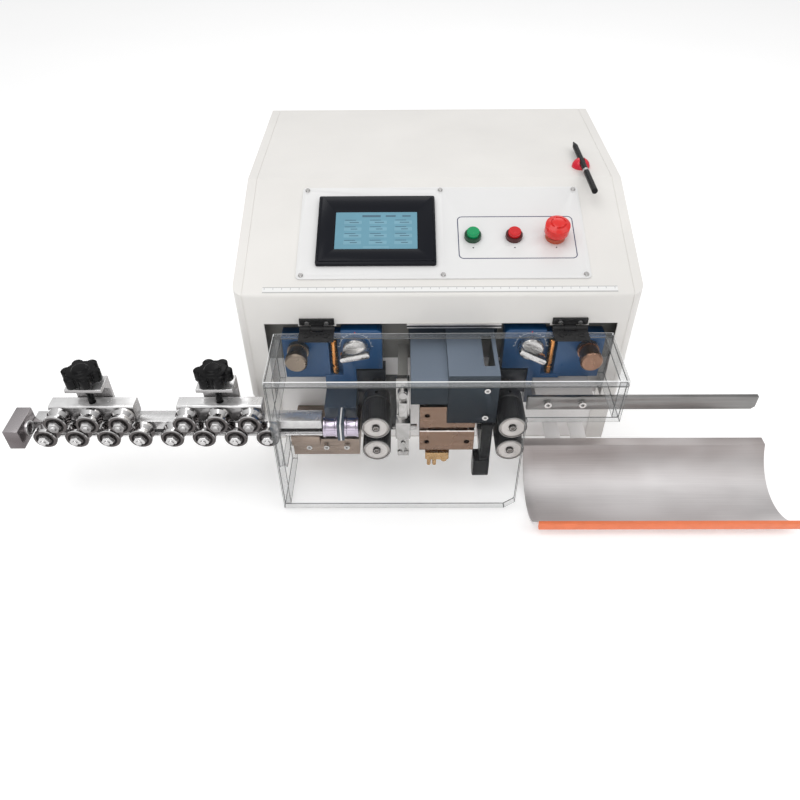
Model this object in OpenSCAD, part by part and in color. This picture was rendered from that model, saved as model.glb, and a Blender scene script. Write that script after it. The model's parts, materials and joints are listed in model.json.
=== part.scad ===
// Benchtop machine that feeds, cuts and strips electric wire.
// Millimetres. X runs with the wire to the right, Y to the back, Z up from the table.
// Modules are written from the middle of the front face; at() moves them so that
// the origin is the middle of the whole part's footprint, on the table.

/* [Housing] */
// width of the painted housing
body_w = 470; // [462:1:478]
// depth of the painted housing
body_d = 408; // [400:1:420]
// height of the front face
fascia_h = 157; // [150:1:165]
// lower edge of the front face above the table
fascia_z = 108; // [106:1:112]
// run of the sloping control face
slope_run = 175; // [172:1:185]
// rise of the sloping control face
slope_rise = 59; // [52:1:62]
// sheet thickness of the housing
sheet_t = 2; // [1.5:0.5:2.5]
// radius of the upright front corners
corner_r = 14; // [10:1:18]
// radius of the bend between front and slope
bend_r = 4; // [4:0.5:6]
// set-back of the lower front
step_y = 22; // [20:1:24]
// distance of the side seam from the edge
seam_in = 12; // [9:1:14]
// width of the left column beside the opening
column_l = 32; // [28:1:34]
// width of the right column beside the opening
column_r = 23; // [21:1:25]
// strip of front face left above the opening
open_strip = 40; // [38:1:44]
// height of the rubber feet
foot_h = 14; // [12:1:16]
// radius of the rubber feet
foot_r = 15; // [12:1:18]
// distance of the feet from the side edges
foot_in = 45; // [35:1:60]
// width of a vent slot
vent_w = 4; // [3:0.5:5]
// length of a vent slot
vent_l = 42; // [30:1:50]

/* [Control panel] */
// width of the control plate
plate_w = 341; // [335:1:350]
// height of the control plate along the slope
plate_h = 144; // [140:1:148]
// thickness of the control plate
plate_t = 2; // [1.5:0.5:3]
// sideways offset of the control plate
plate_x = 7; // [5:1:10]
// lower edge of the control plate along the slope
plate_u = 22; // [18:1:24]
// width of the touch screen bezel
hmi_w = 141; // [138:1:144]
// height of the touch screen bezel
hmi_h = 107; // [104:1:110]
// height of the bezel above the plate
hmi_t = 7; // [5:0.5:9]
// radius of the bezel's corners
hmi_r = 2.5; // [2:0.5:4]
// width of the display
disp_w = 98; // [92:1:104]
// height of the display
disp_h = 58; // [54:1:62]
// offset of the display from the middle of the bezel
disp_off = -4; // [-6:1:2]
// distance between two buttons
btn_pitch = 49; // [46:1:50]
// position of the buttons along the slope
btn_u = 84; // [80:1:88]
// radius of the push button collars
collar_r = 10; // [9:0.5:11]
// height of the push button collars above the plate
collar_h = 6; // [4:0.5:7]
// radius of the push button caps
cap_r = 7.5; // [6.5:0.5:8]
// height of the push button caps above the plate
cap_h = 11; // [10.5:0.5:13]
// travel of the push buttons
cap_travel = 3; // [2:0.5:3.5]
// radius of the emergency stop head
stop_r = 14.5; // [13:0.5:17]
// height of the rim of the emergency stop head
stop_h = 11; // [8:0.5:12]
// height of the emergency stop collar above the plate
stop_collar_h = 5; // [4:0.5:8]
// travel of the emergency stop head
stop_travel = 4; // [3:0.5:5]
// gap between a button and its collar
btn_fit = 0.3; // [0.3:0.05:0.5]
// width of the scale strip
scale_w = 8; // [6:0.5:9]
// length of the scale strip
scale_l = 405; // [395:5:410]
// pen radius
pen_r = 3.6; // [3:0.1:4]
// pen length
pen_l = 146; // [130:1:150]
// radius of the pen holder
dome_r = 11.5; // [11:0.5:13]

/* [Feed mechanism] */
// height of the wire line above the table
wire_z = 113; // [112:0.5:115]
// distance of the wire line in front of the front face
wire_y = 58; // [57:0.5:59]
// centre of the mechanism
mech_x = 8.5; // [7.5:0.5:9.5]
// half the distance between the feed roller pairs
pair_x = 80.5; // [80:0.5:83]
// feed roller radius
roll_r = 17; // [16:0.5:17.2]
// distance between the rollers of a pair
roll_pitch = 37.4; // [37.2:0.1:39]
// length of a feed roller
roll_l = 55; // [50:1:56]
// front of the feed rollers
roll_front = 80; // [78:1:81]
// roller shaft radius
shaft_r = 6; // [5:0.5:6.5]
// running fit of shafts, on the radius
shaft_fit = 0.05; // [0.03:0.01:0.08]
// sliding gap of the roller carriers
slide_gap = 0.3; // [0.2:0.05:0.5]
// travel of the roller carriers upward
lift_up = 4; // [3:0.5:4]
// travel of the roller carriers downward
lift_down = 2; // [1:0.5:2]
// radius of the gap dials
dial_r = 15; // [13:0.5:16]
// length of the dial grip
grip_l = 36; // [32:1:37]
// height of the dials above the table
dial_z = 190; // [188:0.5:191]
// thickness of the mechanism plate
mech_t = 10; // [8:1:12]
// half height of the gap between the blade blocks
blade_gap = 2.5; // [2.3:0.1:3]
// opening travel of a blade block
blade_open = 5; // [3:0.5:5]
// bore of the wire guides
guide_bore_r = 4.5; // [3:0.5:5]

/* [Safety cover] */
// thickness of the clear sheet
cover_t = 8; // [6:1:9]
// left side of the cover
cover_l = 192; // [188:1:196]
// right side of the cover
cover_r = 206; // [202:1:210]
// front of the cover
cover_f = 97; // [95:1:100]
// top of the cover above the table
cover_top = 218; // [217:0.5:219]
// lower edge of the cover above the table
cover_z = 6; // [4:1:10]
// lower edge of the cover on the right
cover_zr = 157; // [150:1:160]
// place of the upright edge of the front panel
cover_x = 101; // [97:1:104]
// width of a hinge
hinge_w = 41; // [36:1:44]
// knuckle radius of a hinge
knuckle_r = 3.5; // [3.3:0.1:3.6]

/* [Straightener] */
// radius of the straightening rollers
str_r = 14; // [12.5:0.5:14]
// width of the straightening rollers
str_w = 18; // [16:1:18]
// distance between two rollers
str_pitch = 39; // [39:0.5:40]
// height between upper and lower roller axes
str_rise = 23; // [23:0.5:25]
// axle radius of the rollers
axle_r = 4; // [3:0.5:4.5]
// last lower roller
low_x = -205; // [-207:1:-204]
// depth of the rail
rail_d = 20; // [18:1:22]
// height of the rail
rail_h = 26; // [22:1:28]
// travel of the carriages upward
car_up = 8; // [4:1:8]
// radius of the star knobs
star_r = 23; // [20:0.5:24]
// bore of the wire eye
eye_r = 6; // [5:0.5:8]

/* [Tray] */
// inner radius of the tray
tray_r = 68; // [64:1:70]
// sheet thickness of the tray
tray_t = 1.5; // [1:0.5:2]
// left end of the tray
tray_x0 = 118; // [114:1:122]
// right end of the tray
tray_x1 = 436; // [420:1:440]
// overhang of the edge strip past the tray
lip_over = 15; // [5:1:20]
// height of the edge strip
lip_h = 11; // [9:1:13]

/* [Hidden] */
$fn = 64;
low_n = 8;
slope_a = atan2(slope_rise, slope_run);
bend_z = fascia_z + fascia_h;
roof_z = bend_z + slope_rise;
half_w = body_w / 2;
vent_pitch = 16;
vent_row = 62;
seam_x = half_w - seam_in;
seam_w = 0.8;
open_x0 = -half_w + column_l;
open_x1 = half_w - column_r;
open_z = bend_z - open_strip;
mech_y0 = step_y + sheet_t;
mech_y1 = mech_y0 + mech_t;
plate_x0 = plate_x - plate_w / 2;
plate_u1 = plate_u + plate_h;
hmi_x = plate_x0 + 22 + hmi_w / 2;
hmi_u = plate_u + 18 + hmi_h / 2;
btn_x = plate_x0 + plate_w - 85;
stem_r = cap_r - 1;
estop_stem_r = 7.5;
btn_body_r = 8;
btn_back = 22;
btn_seat = 4;
stop_dome = 5;
stop_top = stop_collar_h + 0.5 + stop_travel + stop_h;
scale_x = plate_x - 4.5;
scale_u = 3.4;
hmi_step = 2;
hmi_rim = 10;
hmi_fit = 0.2;
hmi_back = 32;
up_z = wire_z + roll_pitch / 2;
low_z = wire_z - roll_pitch / 2;
head_l = -31;
head_m = 12;
head_r = mech_x + pair_x - roll_r - 1;
blue_y = 2;
stem_x0 = mech_x - 3.7;
stem_x1 = mech_x + 13.7;
block_h = 36;
block_y = -wire_y - 4.5;
blade_t = 2;
blade_edge = 1.2;
notch = 3.6;
stem_m = (stem_x0 + stem_x1) / 2;
drive_z = wire_z + 27;
gear_w = 60;
gear_d = 34;
motor_w = 56;
motor_d = 76;
stem_reach = block_h + blade_open + 12;
nozzle_x = mech_x - 7;
nozzle_y = -55;
nozzle_z = 56;
nozzle_r = 2.95;
pivot_x = pair_x + 95;
pivot_z = 184;
pivot_r = 10;
rod_slot_x = pair_x + 52;
post_x = -40;
post_y = -40;
out_x0 = 55;
out_x1 = 68;
out_y = -48;
tube_r = 3.5;
tube_bore_r = 2.2;
bar_x0 = mech_x + pair_x + 22;
bar_x1 = 390;
bar_y = -38;
bar_t = 5;
bar_z0 = wire_z + 9;
bar_z1 = wire_z + 29;
bar_screws = [bar_x0 + 25, bar_x0 + 67];
bar_screw_z = wire_z + 20;
lug_split = mech_x + pair_x + 66;
foot_rail_x0 = -181;
foot_rail_x1 = -96;
foot_rail_y = -40;
foot_rail_z = 46;
foot_rail_h = 28;
foot_rail_screws = [foot_rail_x0 + 21, foot_rail_x0 + 43, foot_rail_x0 + 69];
hood_t = 2.5;
hood_zl = wire_z + 81;
hood_zr = wire_z + 87;
hood_yl = -70;
hood_yr = -66;
hood_bend = 10;
hood_screw_x = head_r - 14;
hood_screws = [hood_zr - 62, hood_zr - 20];
car_x0 = -25.5;
car_x1 = 10;
dial_x = pair_x + 25;
str_low_z = wire_z - str_rise / 2;
str_up_z = wire_z + str_rise / 2;
str_y0 = -wire_y - str_w / 2;
str_y1 = -wire_y + str_w / 2;
rail_y0 = str_y1 + 3;
rail_y1 = rail_y0 + rail_d;
rail_z1 = str_low_z + 10;
rail_z0 = rail_z1 - rail_h;
rail_x0 = low_x - (low_n - 1) * str_pitch - 20;
rail_x1 = -141;
end_t = 18;
car_w = 2 * str_pitch + 26;
car_z0 = rail_z1 + 2.5;
car_z1 = car_z0 + 22;
car_y = (rail_y0 + rail_y1) / 2;
unit_x = [low_x - 5.5 * str_pitch, low_x - 1.5 * str_pitch];
brk_z = car_z1 + car_up + 16;
tray_y = -85;
tray_z = tray_r + tray_t;
tray_back = 24;
band_t = 0.8;
band_w = 13;
tray_front = 43;
lip_y = tray_y - (tray_r + tray_t / 2) * sin(tray_front);
lip_z = tray_z - (tray_r + tray_t / 2) * cos(tray_front);
cover_b = 9;
hinge_y = -5;
hinge_z = cover_top + 3;
hinge_x = [-140.5, 155.5];
pin_r = 1.5;
pin_fit = 0.06;
pen_x = half_w - 45;
pen_y = slope_run + 30;
pen_fit = 0.3;
pen_z = roof_z + 7.8;
inlet_f = 2;
inlet_x = 85 - half_w;
inlet_z = 70;
inlet_w = 27.6;
inlet_h = 20;
inlet_fit = 0.2;
inlet_screw = 20;
x_lo = rail_x0 - end_t;
x_hi = tray_x1 + lip_over;
y_lo = lip_y - 4;
y_hi = body_d + inlet_f;
mid_x = (x_lo + x_hi) / 2;
mid_y = (y_lo + y_hi) / 2;

// Common helpers

module at() translate([-mid_x, -mid_y, 0]) children();

module box(x0, x1, y0, y1, z0, z1)
  translate([x0, y0, z0]) cube([x1 - x0, y1 - y0, z1 - z0]);

module rod_x(y, z, x0, x1, r)
  translate([x0, y, z]) rotate([0, 90, 0]) cylinder(r = r, h = x1 - x0);

module rod_y(x, z, y0, y1, r)
  translate([x, y0, z]) rotate([-90, 0, 0]) cylinder(r = r, h = y1 - y0);

module rod_z(x, y, z0, z1, r)
  translate([x, y, z0]) cylinder(r = r, h = z1 - z0);

module hex_y(x, z, y0, y1, r)
  translate([x, y0, z]) rotate([-90, 0, 0]) cylinder(r = r, h = y1 - y0, $fn = 6);

// extrudes a profile drawn in Y and Z along X
module along_x(x0, x1)
  translate([x0, 0, 0]) rotate([90, 0, 90]) linear_extrude(x1 - x0) children();

// extrudes a profile drawn in X and Z along Y
module along_y(y0, y1)
  translate([0, y1, 0]) rotate([90, 0, 0]) linear_extrude(y1 - y0) children();

// turns a profile of radius and length about an axis along Y, length to the back
module turned_y(x, z, y0)
  translate([x, y0, z]) rotate([-90, 0, 0]) rotate_extrude() children();

// places children on the sloping face: x across, u up the slope, h off the face
module on_slope(x, u, h)
  translate([x, 0, bend_z]) rotate([slope_a, 0, 0]) translate([0, u, h]) children();

module rounded(w, h, r) {
  square([w - 2 * r, h], center = true);
  square([w, h - 2 * r], center = true);
  for (sx = [-1, 1], sy = [-1, 1])
    translate([sx * (w / 2 - r), sy * (h / 2 - r)]) circle(r);
}

// repeats a left-hand item and its mirror image about the middle of the mechanism
module both_hands() {
  children();
  translate([2 * mech_x, 0, 0]) mirror([1, 0, 0]) children();
}

// Housing

// side outline of the housing, drawn inward by t
module side_outline(t, y_end, z_low) {
  r = bend_r - min(t, bend_r - 0.5);
  cz = bend_z + bend_r * tan(slope_a) - bend_r / cos(slope_a);
  ty = bend_r - r * sin(slope_a);
  tz = cz + r * cos(slope_a);
  ry = (slope_rise - t + t / cos(slope_a)) / tan(slope_a);
  polygon([
    [bend_r - r, fascia_z + t],
    [bend_r - r, cz],
    [ty, tz],
    [ry, roof_z - t],
    [y_end, roof_z - t],
    [y_end, z_low],
    [step_y + t, z_low],
    [step_y + t, fascia_z + t]
  ]);
  translate([bend_r, cz]) circle(r);
}

// plan outline of the housing, drawn inward by t
module plan_outline(t, y_end) {
  r = corner_r - t;
  w = half_w - t;
  polygon([
    [-w + r, t],
    [w - r, t],
    [w, t + r],
    [w, y_end],
    [-w, y_end],
    [-w, t + r]
  ]);
  for (s = [-1, 1])
    translate([s * (w - r), t + r]) circle(r);
}

module housing_form(t, y_end, z_low) intersection() {
  along_x(-half_w, half_w) side_outline(t, y_end, z_low);
  linear_extrude(roof_z + 10) plan_outline(t, y_end);
}

module housing_shell() difference() {
  housing_form(0, body_d, foot_h);
  housing_form(sheet_t, body_d + 1, foot_h - 1);
  box(open_x0, open_x1, -1, mech_y0 + 0.01, foot_h - 1, open_z);
}

module panel_cutouts() {
  on_slope(plate_x, plate_u + plate_h / 2, -20)
    linear_extrude(30) square([plate_w - 40, plate_h - 30], center = true);
  panel_screws_at() translate([0, 0, -10]) cylinder(r = 1.8, h = 20);
}

module panel_screws_at()
  for (sx = [-1, 0, 1], u = [plate_u + 5, plate_u1 - 5])
    on_slope(plate_x + sx * (plate_w / 2 - 6), u, plate_t) children();

module top_cover() color("ivory") at() {
  difference() {
    intersection() {
      housing_shell();
      box(-seam_x, seam_x, -1, body_d + 1, 0, roof_z + 1);
    }
    panel_cutouts();
    hinge_screws_at() rotate([90, 0, 0]) cylinder(r = 1.6, h = 20, center = true);
  }
  // tabs behind the hinges
  for (x = hinge_x)
    difference() {
      box(x - hinge_w / 2 - 2, x + hinge_w / 2 + 2, 0, sheet_t, hinge_z + 1, open_z);
      hinge_screws_at() rotate([90, 0, 0]) cylinder(r = 1.6, h = 20, center = true);
    }
}

module side_vents(s)
  for (row = [0, 1], i = [0:9])
    translate([s * half_w, body_d - 218 + i * vent_pitch, 60 + row * vent_row])
      rotate([0, 90, 0]) linear_extrude(20, center = true) slot_profile();

module slot_profile() {
  square([vent_l - vent_w, vent_w], center = true);
  for (s = [-1, 1])
    translate([s * (vent_l - vent_w) / 2, 0]) circle(vent_w / 2);
}

module side_panels() color("ivory") at()
  for (s = [-1, 1])
    difference() {
      intersection() {
        housing_shell();
        box(s > 0 ? seam_x : -half_w - 1, s > 0 ? half_w + 1 : -seam_x, -1, body_d + 1, 0, roof_z + 1);
      }
      side_vents(s);
      seam_groove(s);
    }

// shallow line where a side panel meets the folded top
module seam_groove(s) difference() {
  mirror([s > 0 ? 0 : 1, 0, 0])
    box(seam_x - 1, seam_x + seam_w, -1, body_d + 1, fascia_z + 1, roof_z + 1);
  housing_form(0.6, body_d + 2, 0);
}

module base_chassis() color("ivory") at() {
  w = half_w - sheet_t;
  difference() {
    union() {
      box(-w, w, mech_y0, body_d, foot_h, foot_h + sheet_t);
      box(-w, w, body_d - sheet_t, body_d, foot_h, roof_z - sheet_t);
      for (s = [-1, 1])
        box(s > 0 ? w - sheet_t : -w, s > 0 ? w : -w + sheet_t, mech_y1 + 4, body_d, foot_h, foot_h + 18);
    }
    // mains inlet
    translate([inlet_x, body_d - 10, inlet_z])
      cube([inlet_w + 2 * inlet_fit, 30, inlet_h + 2 * inlet_fit], center = true);
    for (s = [-1, 1])
      rod_y(inlet_x + s * inlet_screw, inlet_z, body_d - 5, body_d + 1, 1.7);
    // rear vents
    for (row = [0, 1, 2], i = [0:11])
      translate([-30 + i * vent_pitch, body_d, 90 + row * vent_row])
        rotate([90, 0, 0]) rotate([0, 0, 90]) linear_extrude(20, center = true) slot_profile();
    // underside vents
    for (i = [0:9])
      translate([-90 + i * 20, 230, foot_h])
        rotate([0, 0, 90]) linear_extrude(20, center = true) slot_profile();
  }
}

module feet() color("dimgray") at()
  for (sx = [-1, 1], y = [mech_y1 + 36, body_d - 40])
    translate([sx * (half_w - foot_in), y, 0])
      rotate_extrude()
        polygon([[0, 0], [foot_r - 3, 0], [foot_r - 1, 2], [foot_r, foot_h], [0, foot_h]]);

module power_inlet() color("black") at() {
  difference() {
    union() {
      translate([inlet_x, body_d + inlet_f / 2, inlet_z])
        rotate([90, 0, 0]) linear_extrude(inlet_f, center = true) rounded(50, 25, 3);
      translate([inlet_x, body_d - 9, inlet_z]) cube([inlet_w, 18, inlet_h], center = true);
    }
    translate([inlet_x, body_d - 5, inlet_z])
      rotate([90, 0, 0]) linear_extrude(22, center = true)
        polygon([[-11.5, -8], [11.5, -8], [11.5, 4], [8, 8], [-8, 8], [-11.5, 4]]);
    for (s = [-1, 1])
      rod_y(inlet_x + s * inlet_screw, inlet_z, body_d - 5, body_d + 5, 1.7);
  }
  translate([inlet_x, body_d - 17, inlet_z]) cube([inlet_w, 2, inlet_h], center = true);
  for (p = [[-7, -2], [0, 2], [7, -2]])
    translate([inlet_x + p[0], body_d - 9.5, inlet_z + p[1]]) cube([2, 15, 4.5], center = true);
}

// Control panel

module control_panel() color("whitesmoke") at()
  difference() {
    on_slope(plate_x, plate_u + plate_h / 2, 0) linear_extrude(plate_t) rounded(plate_w, plate_h, 5);
    on_slope(hmi_x, hmi_u, -5) linear_extrude(10) square([hmi_w - hmi_rim, hmi_h - hmi_rim], center = true);
    for (i = [0, 1, 2])
      on_slope(btn_x + (i - 1) * btn_pitch, btn_u, -5) cylinder(r = btn_body_r + 0.1, h = 10);
    panel_screws_at() translate([0, 0, -5]) cylinder(r = 1.8, h = 10);
  }

module touch_screen() color("black") at() {
  on_slope(hmi_x, hmi_u, plate_t) {
    difference() {
      union() {
        linear_extrude(hmi_t - hmi_step) rounded(hmi_w, hmi_h, hmi_r);
        linear_extrude(hmi_t) rounded(hmi_w - 3 * hmi_step, hmi_h - 3 * hmi_step, hmi_r - 0.5);
      }
      translate([0, disp_off, hmi_t - 1]) linear_extrude(5) rounded(disp_w, disp_h, 1);
    }
    translate([0, 0, -hmi_back])
      linear_extrude(hmi_back + 1)
        square([hmi_w - hmi_rim - 2 * hmi_fit, hmi_h - hmi_rim - 2 * hmi_fit], center = true);
  }
}

module button_collars() color("silver") at() {
  for (i = [0, 1])
    on_slope(btn_x + (i - 1) * btn_pitch, btn_u, 0)
      rotate_extrude()
        polygon([
          [cap_r + btn_fit, plate_t + collar_h], [cap_r + btn_fit, -btn_seat], [stem_r + btn_fit, -btn_seat],
          [stem_r + btn_fit, -btn_back], [btn_body_r, -btn_back], [btn_body_r, plate_t], [collar_r, plate_t],
          [collar_r, plate_t + collar_h - 1], [collar_r - 1, plate_t + collar_h]
        ]);
  on_slope(btn_x + btn_pitch, btn_u, 0)
    rotate_extrude()
      polygon([
        [estop_stem_r + btn_fit, plate_t + stop_collar_h], [estop_stem_r + btn_fit, -btn_back],
        [btn_body_r + 0.05, -btn_back], [btn_body_r + 0.05, plate_t], [stop_r - 2.5, plate_t],
        [stop_r - 2.5, plate_t + stop_collar_h - 2], [stop_r - 3.5, plate_t + stop_collar_h]
      ]);
}

module push_button(i) on_slope(btn_x + (i - 1) * btn_pitch, btn_u, 0)
  rotate_extrude()
    polygon([
      [0, 4 - btn_back], [stem_r, 4 - btn_back], [stem_r, cap_travel + btn_fit - btn_seat],
      [cap_r, cap_travel + btn_fit - btn_seat], [cap_r, plate_t + cap_h - 1],
      [cap_r - 1, plate_t + cap_h], [0, plate_t + cap_h]
    ]);

module start_button() color("green") at() push_button(0);

module stop_button() color("red") at() push_button(1);

module emergency_stop() color("red") at()
  on_slope(btn_x + btn_pitch, btn_u, plate_t) {
    difference() {
      union() {
        translate([0, 0, 4 - btn_back]) cylinder(r = estop_stem_r, h = btn_back + stop_top - 9);
        translate([0, 0, stop_top - stop_h]) cylinder(r = stop_r, h = stop_h);
        intersection() {
          translate([0, 0, stop_top + stop_dome - stop_r * 1.5]) sphere(stop_r * 1.5);
          translate([0, 0, stop_top - 0.1]) cylinder(r = stop_r, h = stop_dome + 1);
        }
      }
      // turning arrows pressed into the head
      translate([0, 0, stop_top + stop_dome - 3.1])
        difference() {
          cylinder(r = 9, h = 5);
          translate([0, 0, -1]) cylinder(r = 7.6, h = 7);
          for (a = [0, 120, 240])
            rotate([0, 0, a]) translate([6, -2, -1]) cube([6, 4, 7]);
        }
    }
  }

module scale_strip() color("white") at()
  difference() {
    on_slope(scale_x, scale_u + scale_w / 2, 0)
      linear_extrude(0.5) square([scale_l, scale_w], center = true);
    for (i = [0:floor(scale_l / 10)])
      on_slope(scale_x - scale_l / 2 + 2 + i * 10, scale_u + scale_w, 0.3)
        translate([-0.4, i % 5 == 0 ? -5.5 : -3.5, 0]) cube([0.8, 6, 1]);
  }

module pen_holder() color("red") at()
  difference() {
    translate([pen_x, pen_y, roof_z]) intersection() {
      sphere(dome_r);
      cylinder(r = dome_r + 1, h = dome_r + 1);
    }
    rod_y(pen_x, pen_z, pen_y - 25, pen_y + 25, pen_r + pen_fit);
    box(pen_x - pen_r + pen_fit, pen_x + pen_r - pen_fit, pen_y - 25, pen_y + 25, pen_z, roof_z + 30);
  }

module stylus_pen() color("black") at()
  turned_y(pen_x, pen_z, pen_y - 87)
    polygon([
      [0, 0], [pen_r - 0.8, 0], [pen_r, 1], [pen_r, 54], [pen_r + 0.15, 54], [pen_r + 0.15, 59],
      [pen_r, 59], [pen_r, pen_l - 14], [1.2, pen_l - 2], [0.7, pen_l], [0, pen_l]
    ]);

// Mechanism

module mechanism_plate() color("gray") at() {
  difference() {
    box(-half_w + sheet_t + 2, half_w - sheet_t - 2, mech_y0, mech_y1, foot_h + sheet_t, open_z - 1);
    for (x = [mech_x - pair_x, mech_x + pair_x]) {
      rod_y(x, low_z, mech_y0 - 1, mech_y1 + 1, shaft_r + shaft_fit);
      box(x - 9.3, x + 9.3, mech_y0 - 1, mech_y1 + 1, up_z - 12 - lift_down, up_z + 12 + lift_up);
    }
    box(stem_x0 - slide_gap, stem_x1 + slide_gap, mech_y0 - 1, mech_y1 + 1,
      wire_z - stem_reach, wire_z + stem_reach);
    rod_y(nozzle_x, nozzle_z, mech_y0 - 1, mech_y1 + 1, nozzle_r + shaft_fit);
  }
  // lug of the support bar
  box(lug_split, bar_x0 + 81, bar_y + bar_t, mech_y0, bar_z0 + 2, bar_z1 - 2);
  box(bar_x0 + 11, lug_split + 1, bar_y + bar_t, blue_y, bar_z0 + 2, bar_z1 - 2);
  // lugs of the tray
  for (x = [tray_x0 + 32, tray_x0 + 66])
    box(x, x + 20, hook_y() + 2.4, mech_y0, hook_z() - 4, hook_z());
  // arm of the infeed guide
  box(post_x - 6, post_x + 6, post_y, mech_y0, wire_z + 37, wire_z + 63);
  // arm of the outfeed guide
  box(out_x0, out_x1 - 1, out_y, mech_y0, wire_z - 47, wire_z - 37);
}

function hook_y() = tray_y + tray_r * cos(tray_back);

function hook_z() = tray_z - tray_r * sin(tray_back);

module hinge_screws_at()
  for (x = hinge_x, s = [-1, 1])
    translate([x + s * hinge_w * 0.28, 0, hinge_z + 7]) children();

module hinge_fixed_leaves() color("black") at()
  for (x = hinge_x)
    difference() {
      union() {
        box(x - hinge_w / 2, x + hinge_w / 2, -3, 0, hinge_z + knuckle_r + 0.5, hinge_z + 12);
        box(x - 7, x + 7, -3, 0, hinge_z, hinge_z + 6);
        rod_x(hinge_y, hinge_z, x - 7, x + 7, knuckle_r);
        rod_x(hinge_y, hinge_z, x - hinge_w / 2, x + hinge_w / 2, pin_r);
      }
      hinge_screws_at() rotate([90, 0, 0]) cylinder(r = 1.6, h = 20, center = true);
    }

module hinge_moving_leaves() color("black") at()
  for (x = hinge_x) {
    difference() {
      union() {
        for (s = [-1, 1])
          rod_x(hinge_y, hinge_z, x + s * (hinge_w / 4 + 3.65) - (hinge_w / 2 - 7.3) / 2,
            x + s * (hinge_w / 4 + 3.65) + (hinge_w / 2 - 7.3) / 2, knuckle_r);
        for (s = [-1, 1])
          translate([x, 0, 0]) mirror([s > 0 ? 0 : 1, 0, 0])
            box(7.3, hinge_w / 2, -12, hinge_y, hinge_z - 3, hinge_z - 0.5);
        box(x - hinge_w / 2, x + hinge_w / 2, -27, -10, hinge_z - 3, hinge_z - 0.5);
      }
      rod_x(hinge_y, hinge_z, x - hinge_w, x + hinge_w, pin_r + pin_fit);
    }
    for (s = [-1, 1])
      rod_z(x + s * hinge_w * 0.28, -19, hinge_z - 1, hinge_z + 1, 2.8);
  }

module cover_side_left() difference() {
  square_yz(-cover_f, -cover_b, cover_z, cover_top);
  square_yz(-84, 10, 76, 136);
  square_yz(-70, 10, 62, 150);
  for (p = [[-70, 76], [-70, 136]])
    translate(p) circle(14);
}

module square_yz(y0, y1, z0, z1)
  polygon([[y0, z0], [y1, z0], [y1, z1], [y0, z1]]);

module safety_cover() color([0.8, 0.9, 0.95, 0.4]) at() {
  box(-cover_l, cover_r, -cover_f, -cover_b, cover_top - cover_t, cover_top);
  along_y(-cover_f, -cover_f + cover_t)
    polygon([
      [-cover_l, cover_z], [cover_x - 13, cover_z], [cover_x, cover_z + 11],
      [cover_x, cover_zr], [cover_r, cover_zr], [cover_r, cover_top], [-cover_l, cover_top]
    ]);
  along_x(-cover_l, -cover_l + cover_t) cover_side_left();
  box(cover_r - cover_t, cover_r, -cover_f, -cover_b, cover_zr, cover_top);
}

// block that carries dial, pivot and pressure rod, as on the infeed side
module housing_block() {
  x = mech_x - pair_x;
  difference() {
    union() {
      // dial face with one rounded corner
      box(x - 42, x + 2, blue_y, mech_y0, up_z + 23, 214);
      box(x - 42, x + 7, blue_y, mech_y0, up_z + 23, 207);
      rod_y(x, 207, blue_y, mech_y0, 7);
      // pivot side
      box(x - 114, x - 58, blue_y + 2, mech_y0, 140, 203);
      // web behind the slot
      box(x - 60, x - 40, 14, mech_y0, 98, 203);
      box(x - 60, x - 40, blue_y, mech_y0, 98, 145);
      // upright between the dial face and the guide
      box(x - 65, x - 26, blue_y, mech_y0, 98, 145);
      box(x - 42, x - 26, blue_y, mech_y0, 98, up_z + 26);
    }
    rod_y(mech_x - dial_x, dial_z, blue_y - 1, blue_y + 16, 4 + shaft_fit);
    rod_y(mech_x - pivot_x, pivot_z, -1, 20, pivot_r + shaft_fit);
  }
}

module roller_housings() color("royalblue") at() {
  both_hands() housing_block();
  // guide block of the infeed side with the arm that holds the guides
  x = mech_x - pair_x;
  difference() {
    union() {
      box(x - 65, x - 26, -36, mech_y0, 98, 124.5);
      box(x - 47.5, x - 39, -wire_y - 11, -36, 100, 126);
    }
    rod_x(-wire_y, wire_z, x - 60, x - 30, guide_bore_r);
  }
}

module pivot_pins() color("silver") at()
  both_hands()
    turned_y(mech_x - pivot_x, pivot_z, -24)
      polygon([
        [0, 0], [11.5, 0], [13.3, 2], [13.3, 9], [11.5, 11], [11.5, 22], [13, 22], [13, 28],
        [pivot_r, 28], [pivot_r, 43], [0, 43]
      ]);

module dial(s) {
  turned_y(mech_x + s * dial_x, dial_z, -8)
    polygon([[0, 0], [dial_r - 2, 0], [dial_r, 2], [dial_r, 9.7], [4, 9.7], [4, 24], [0, 24]]);
  translate([mech_x + s * dial_x, -8, dial_z])
    rotate([0, s > 0 ? 28 : -12, 0]) {
      rotate([90, 0, 0]) linear_extrude(14) rounded(grip_l, 7, 3);
      translate([grip_l / 2 - 9, -14.6, -0.6]) cube([8, 2, 1.2]);
    }
}

module infeed_dial() color("silver") at() dial(-1);

module outfeed_dial() color("silver") at() dial(1);

module carrier(s) {
  x = mech_x + s * pair_x;
  difference() {
    union() {
      translate([x, 0, 0]) mirror([s > 0 ? 1 : 0, 0, 0])
        box(car_x0, car_x1, 4, mech_y0 - slide_gap, up_z - 17.5, up_z + 18.5);
      box(x - 9, x + 9, mech_y0 - 1, mech_y1 - 1, up_z - 11.5, up_z + 11.5);
    }
    rod_y(x, up_z, 0, mech_y1 + 5, shaft_r + shaft_fit);
  }
}

module infeed_carrier() color("royalblue") at() carrier(-1);

module outfeed_carrier() color("royalblue") at() carrier(1);

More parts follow.
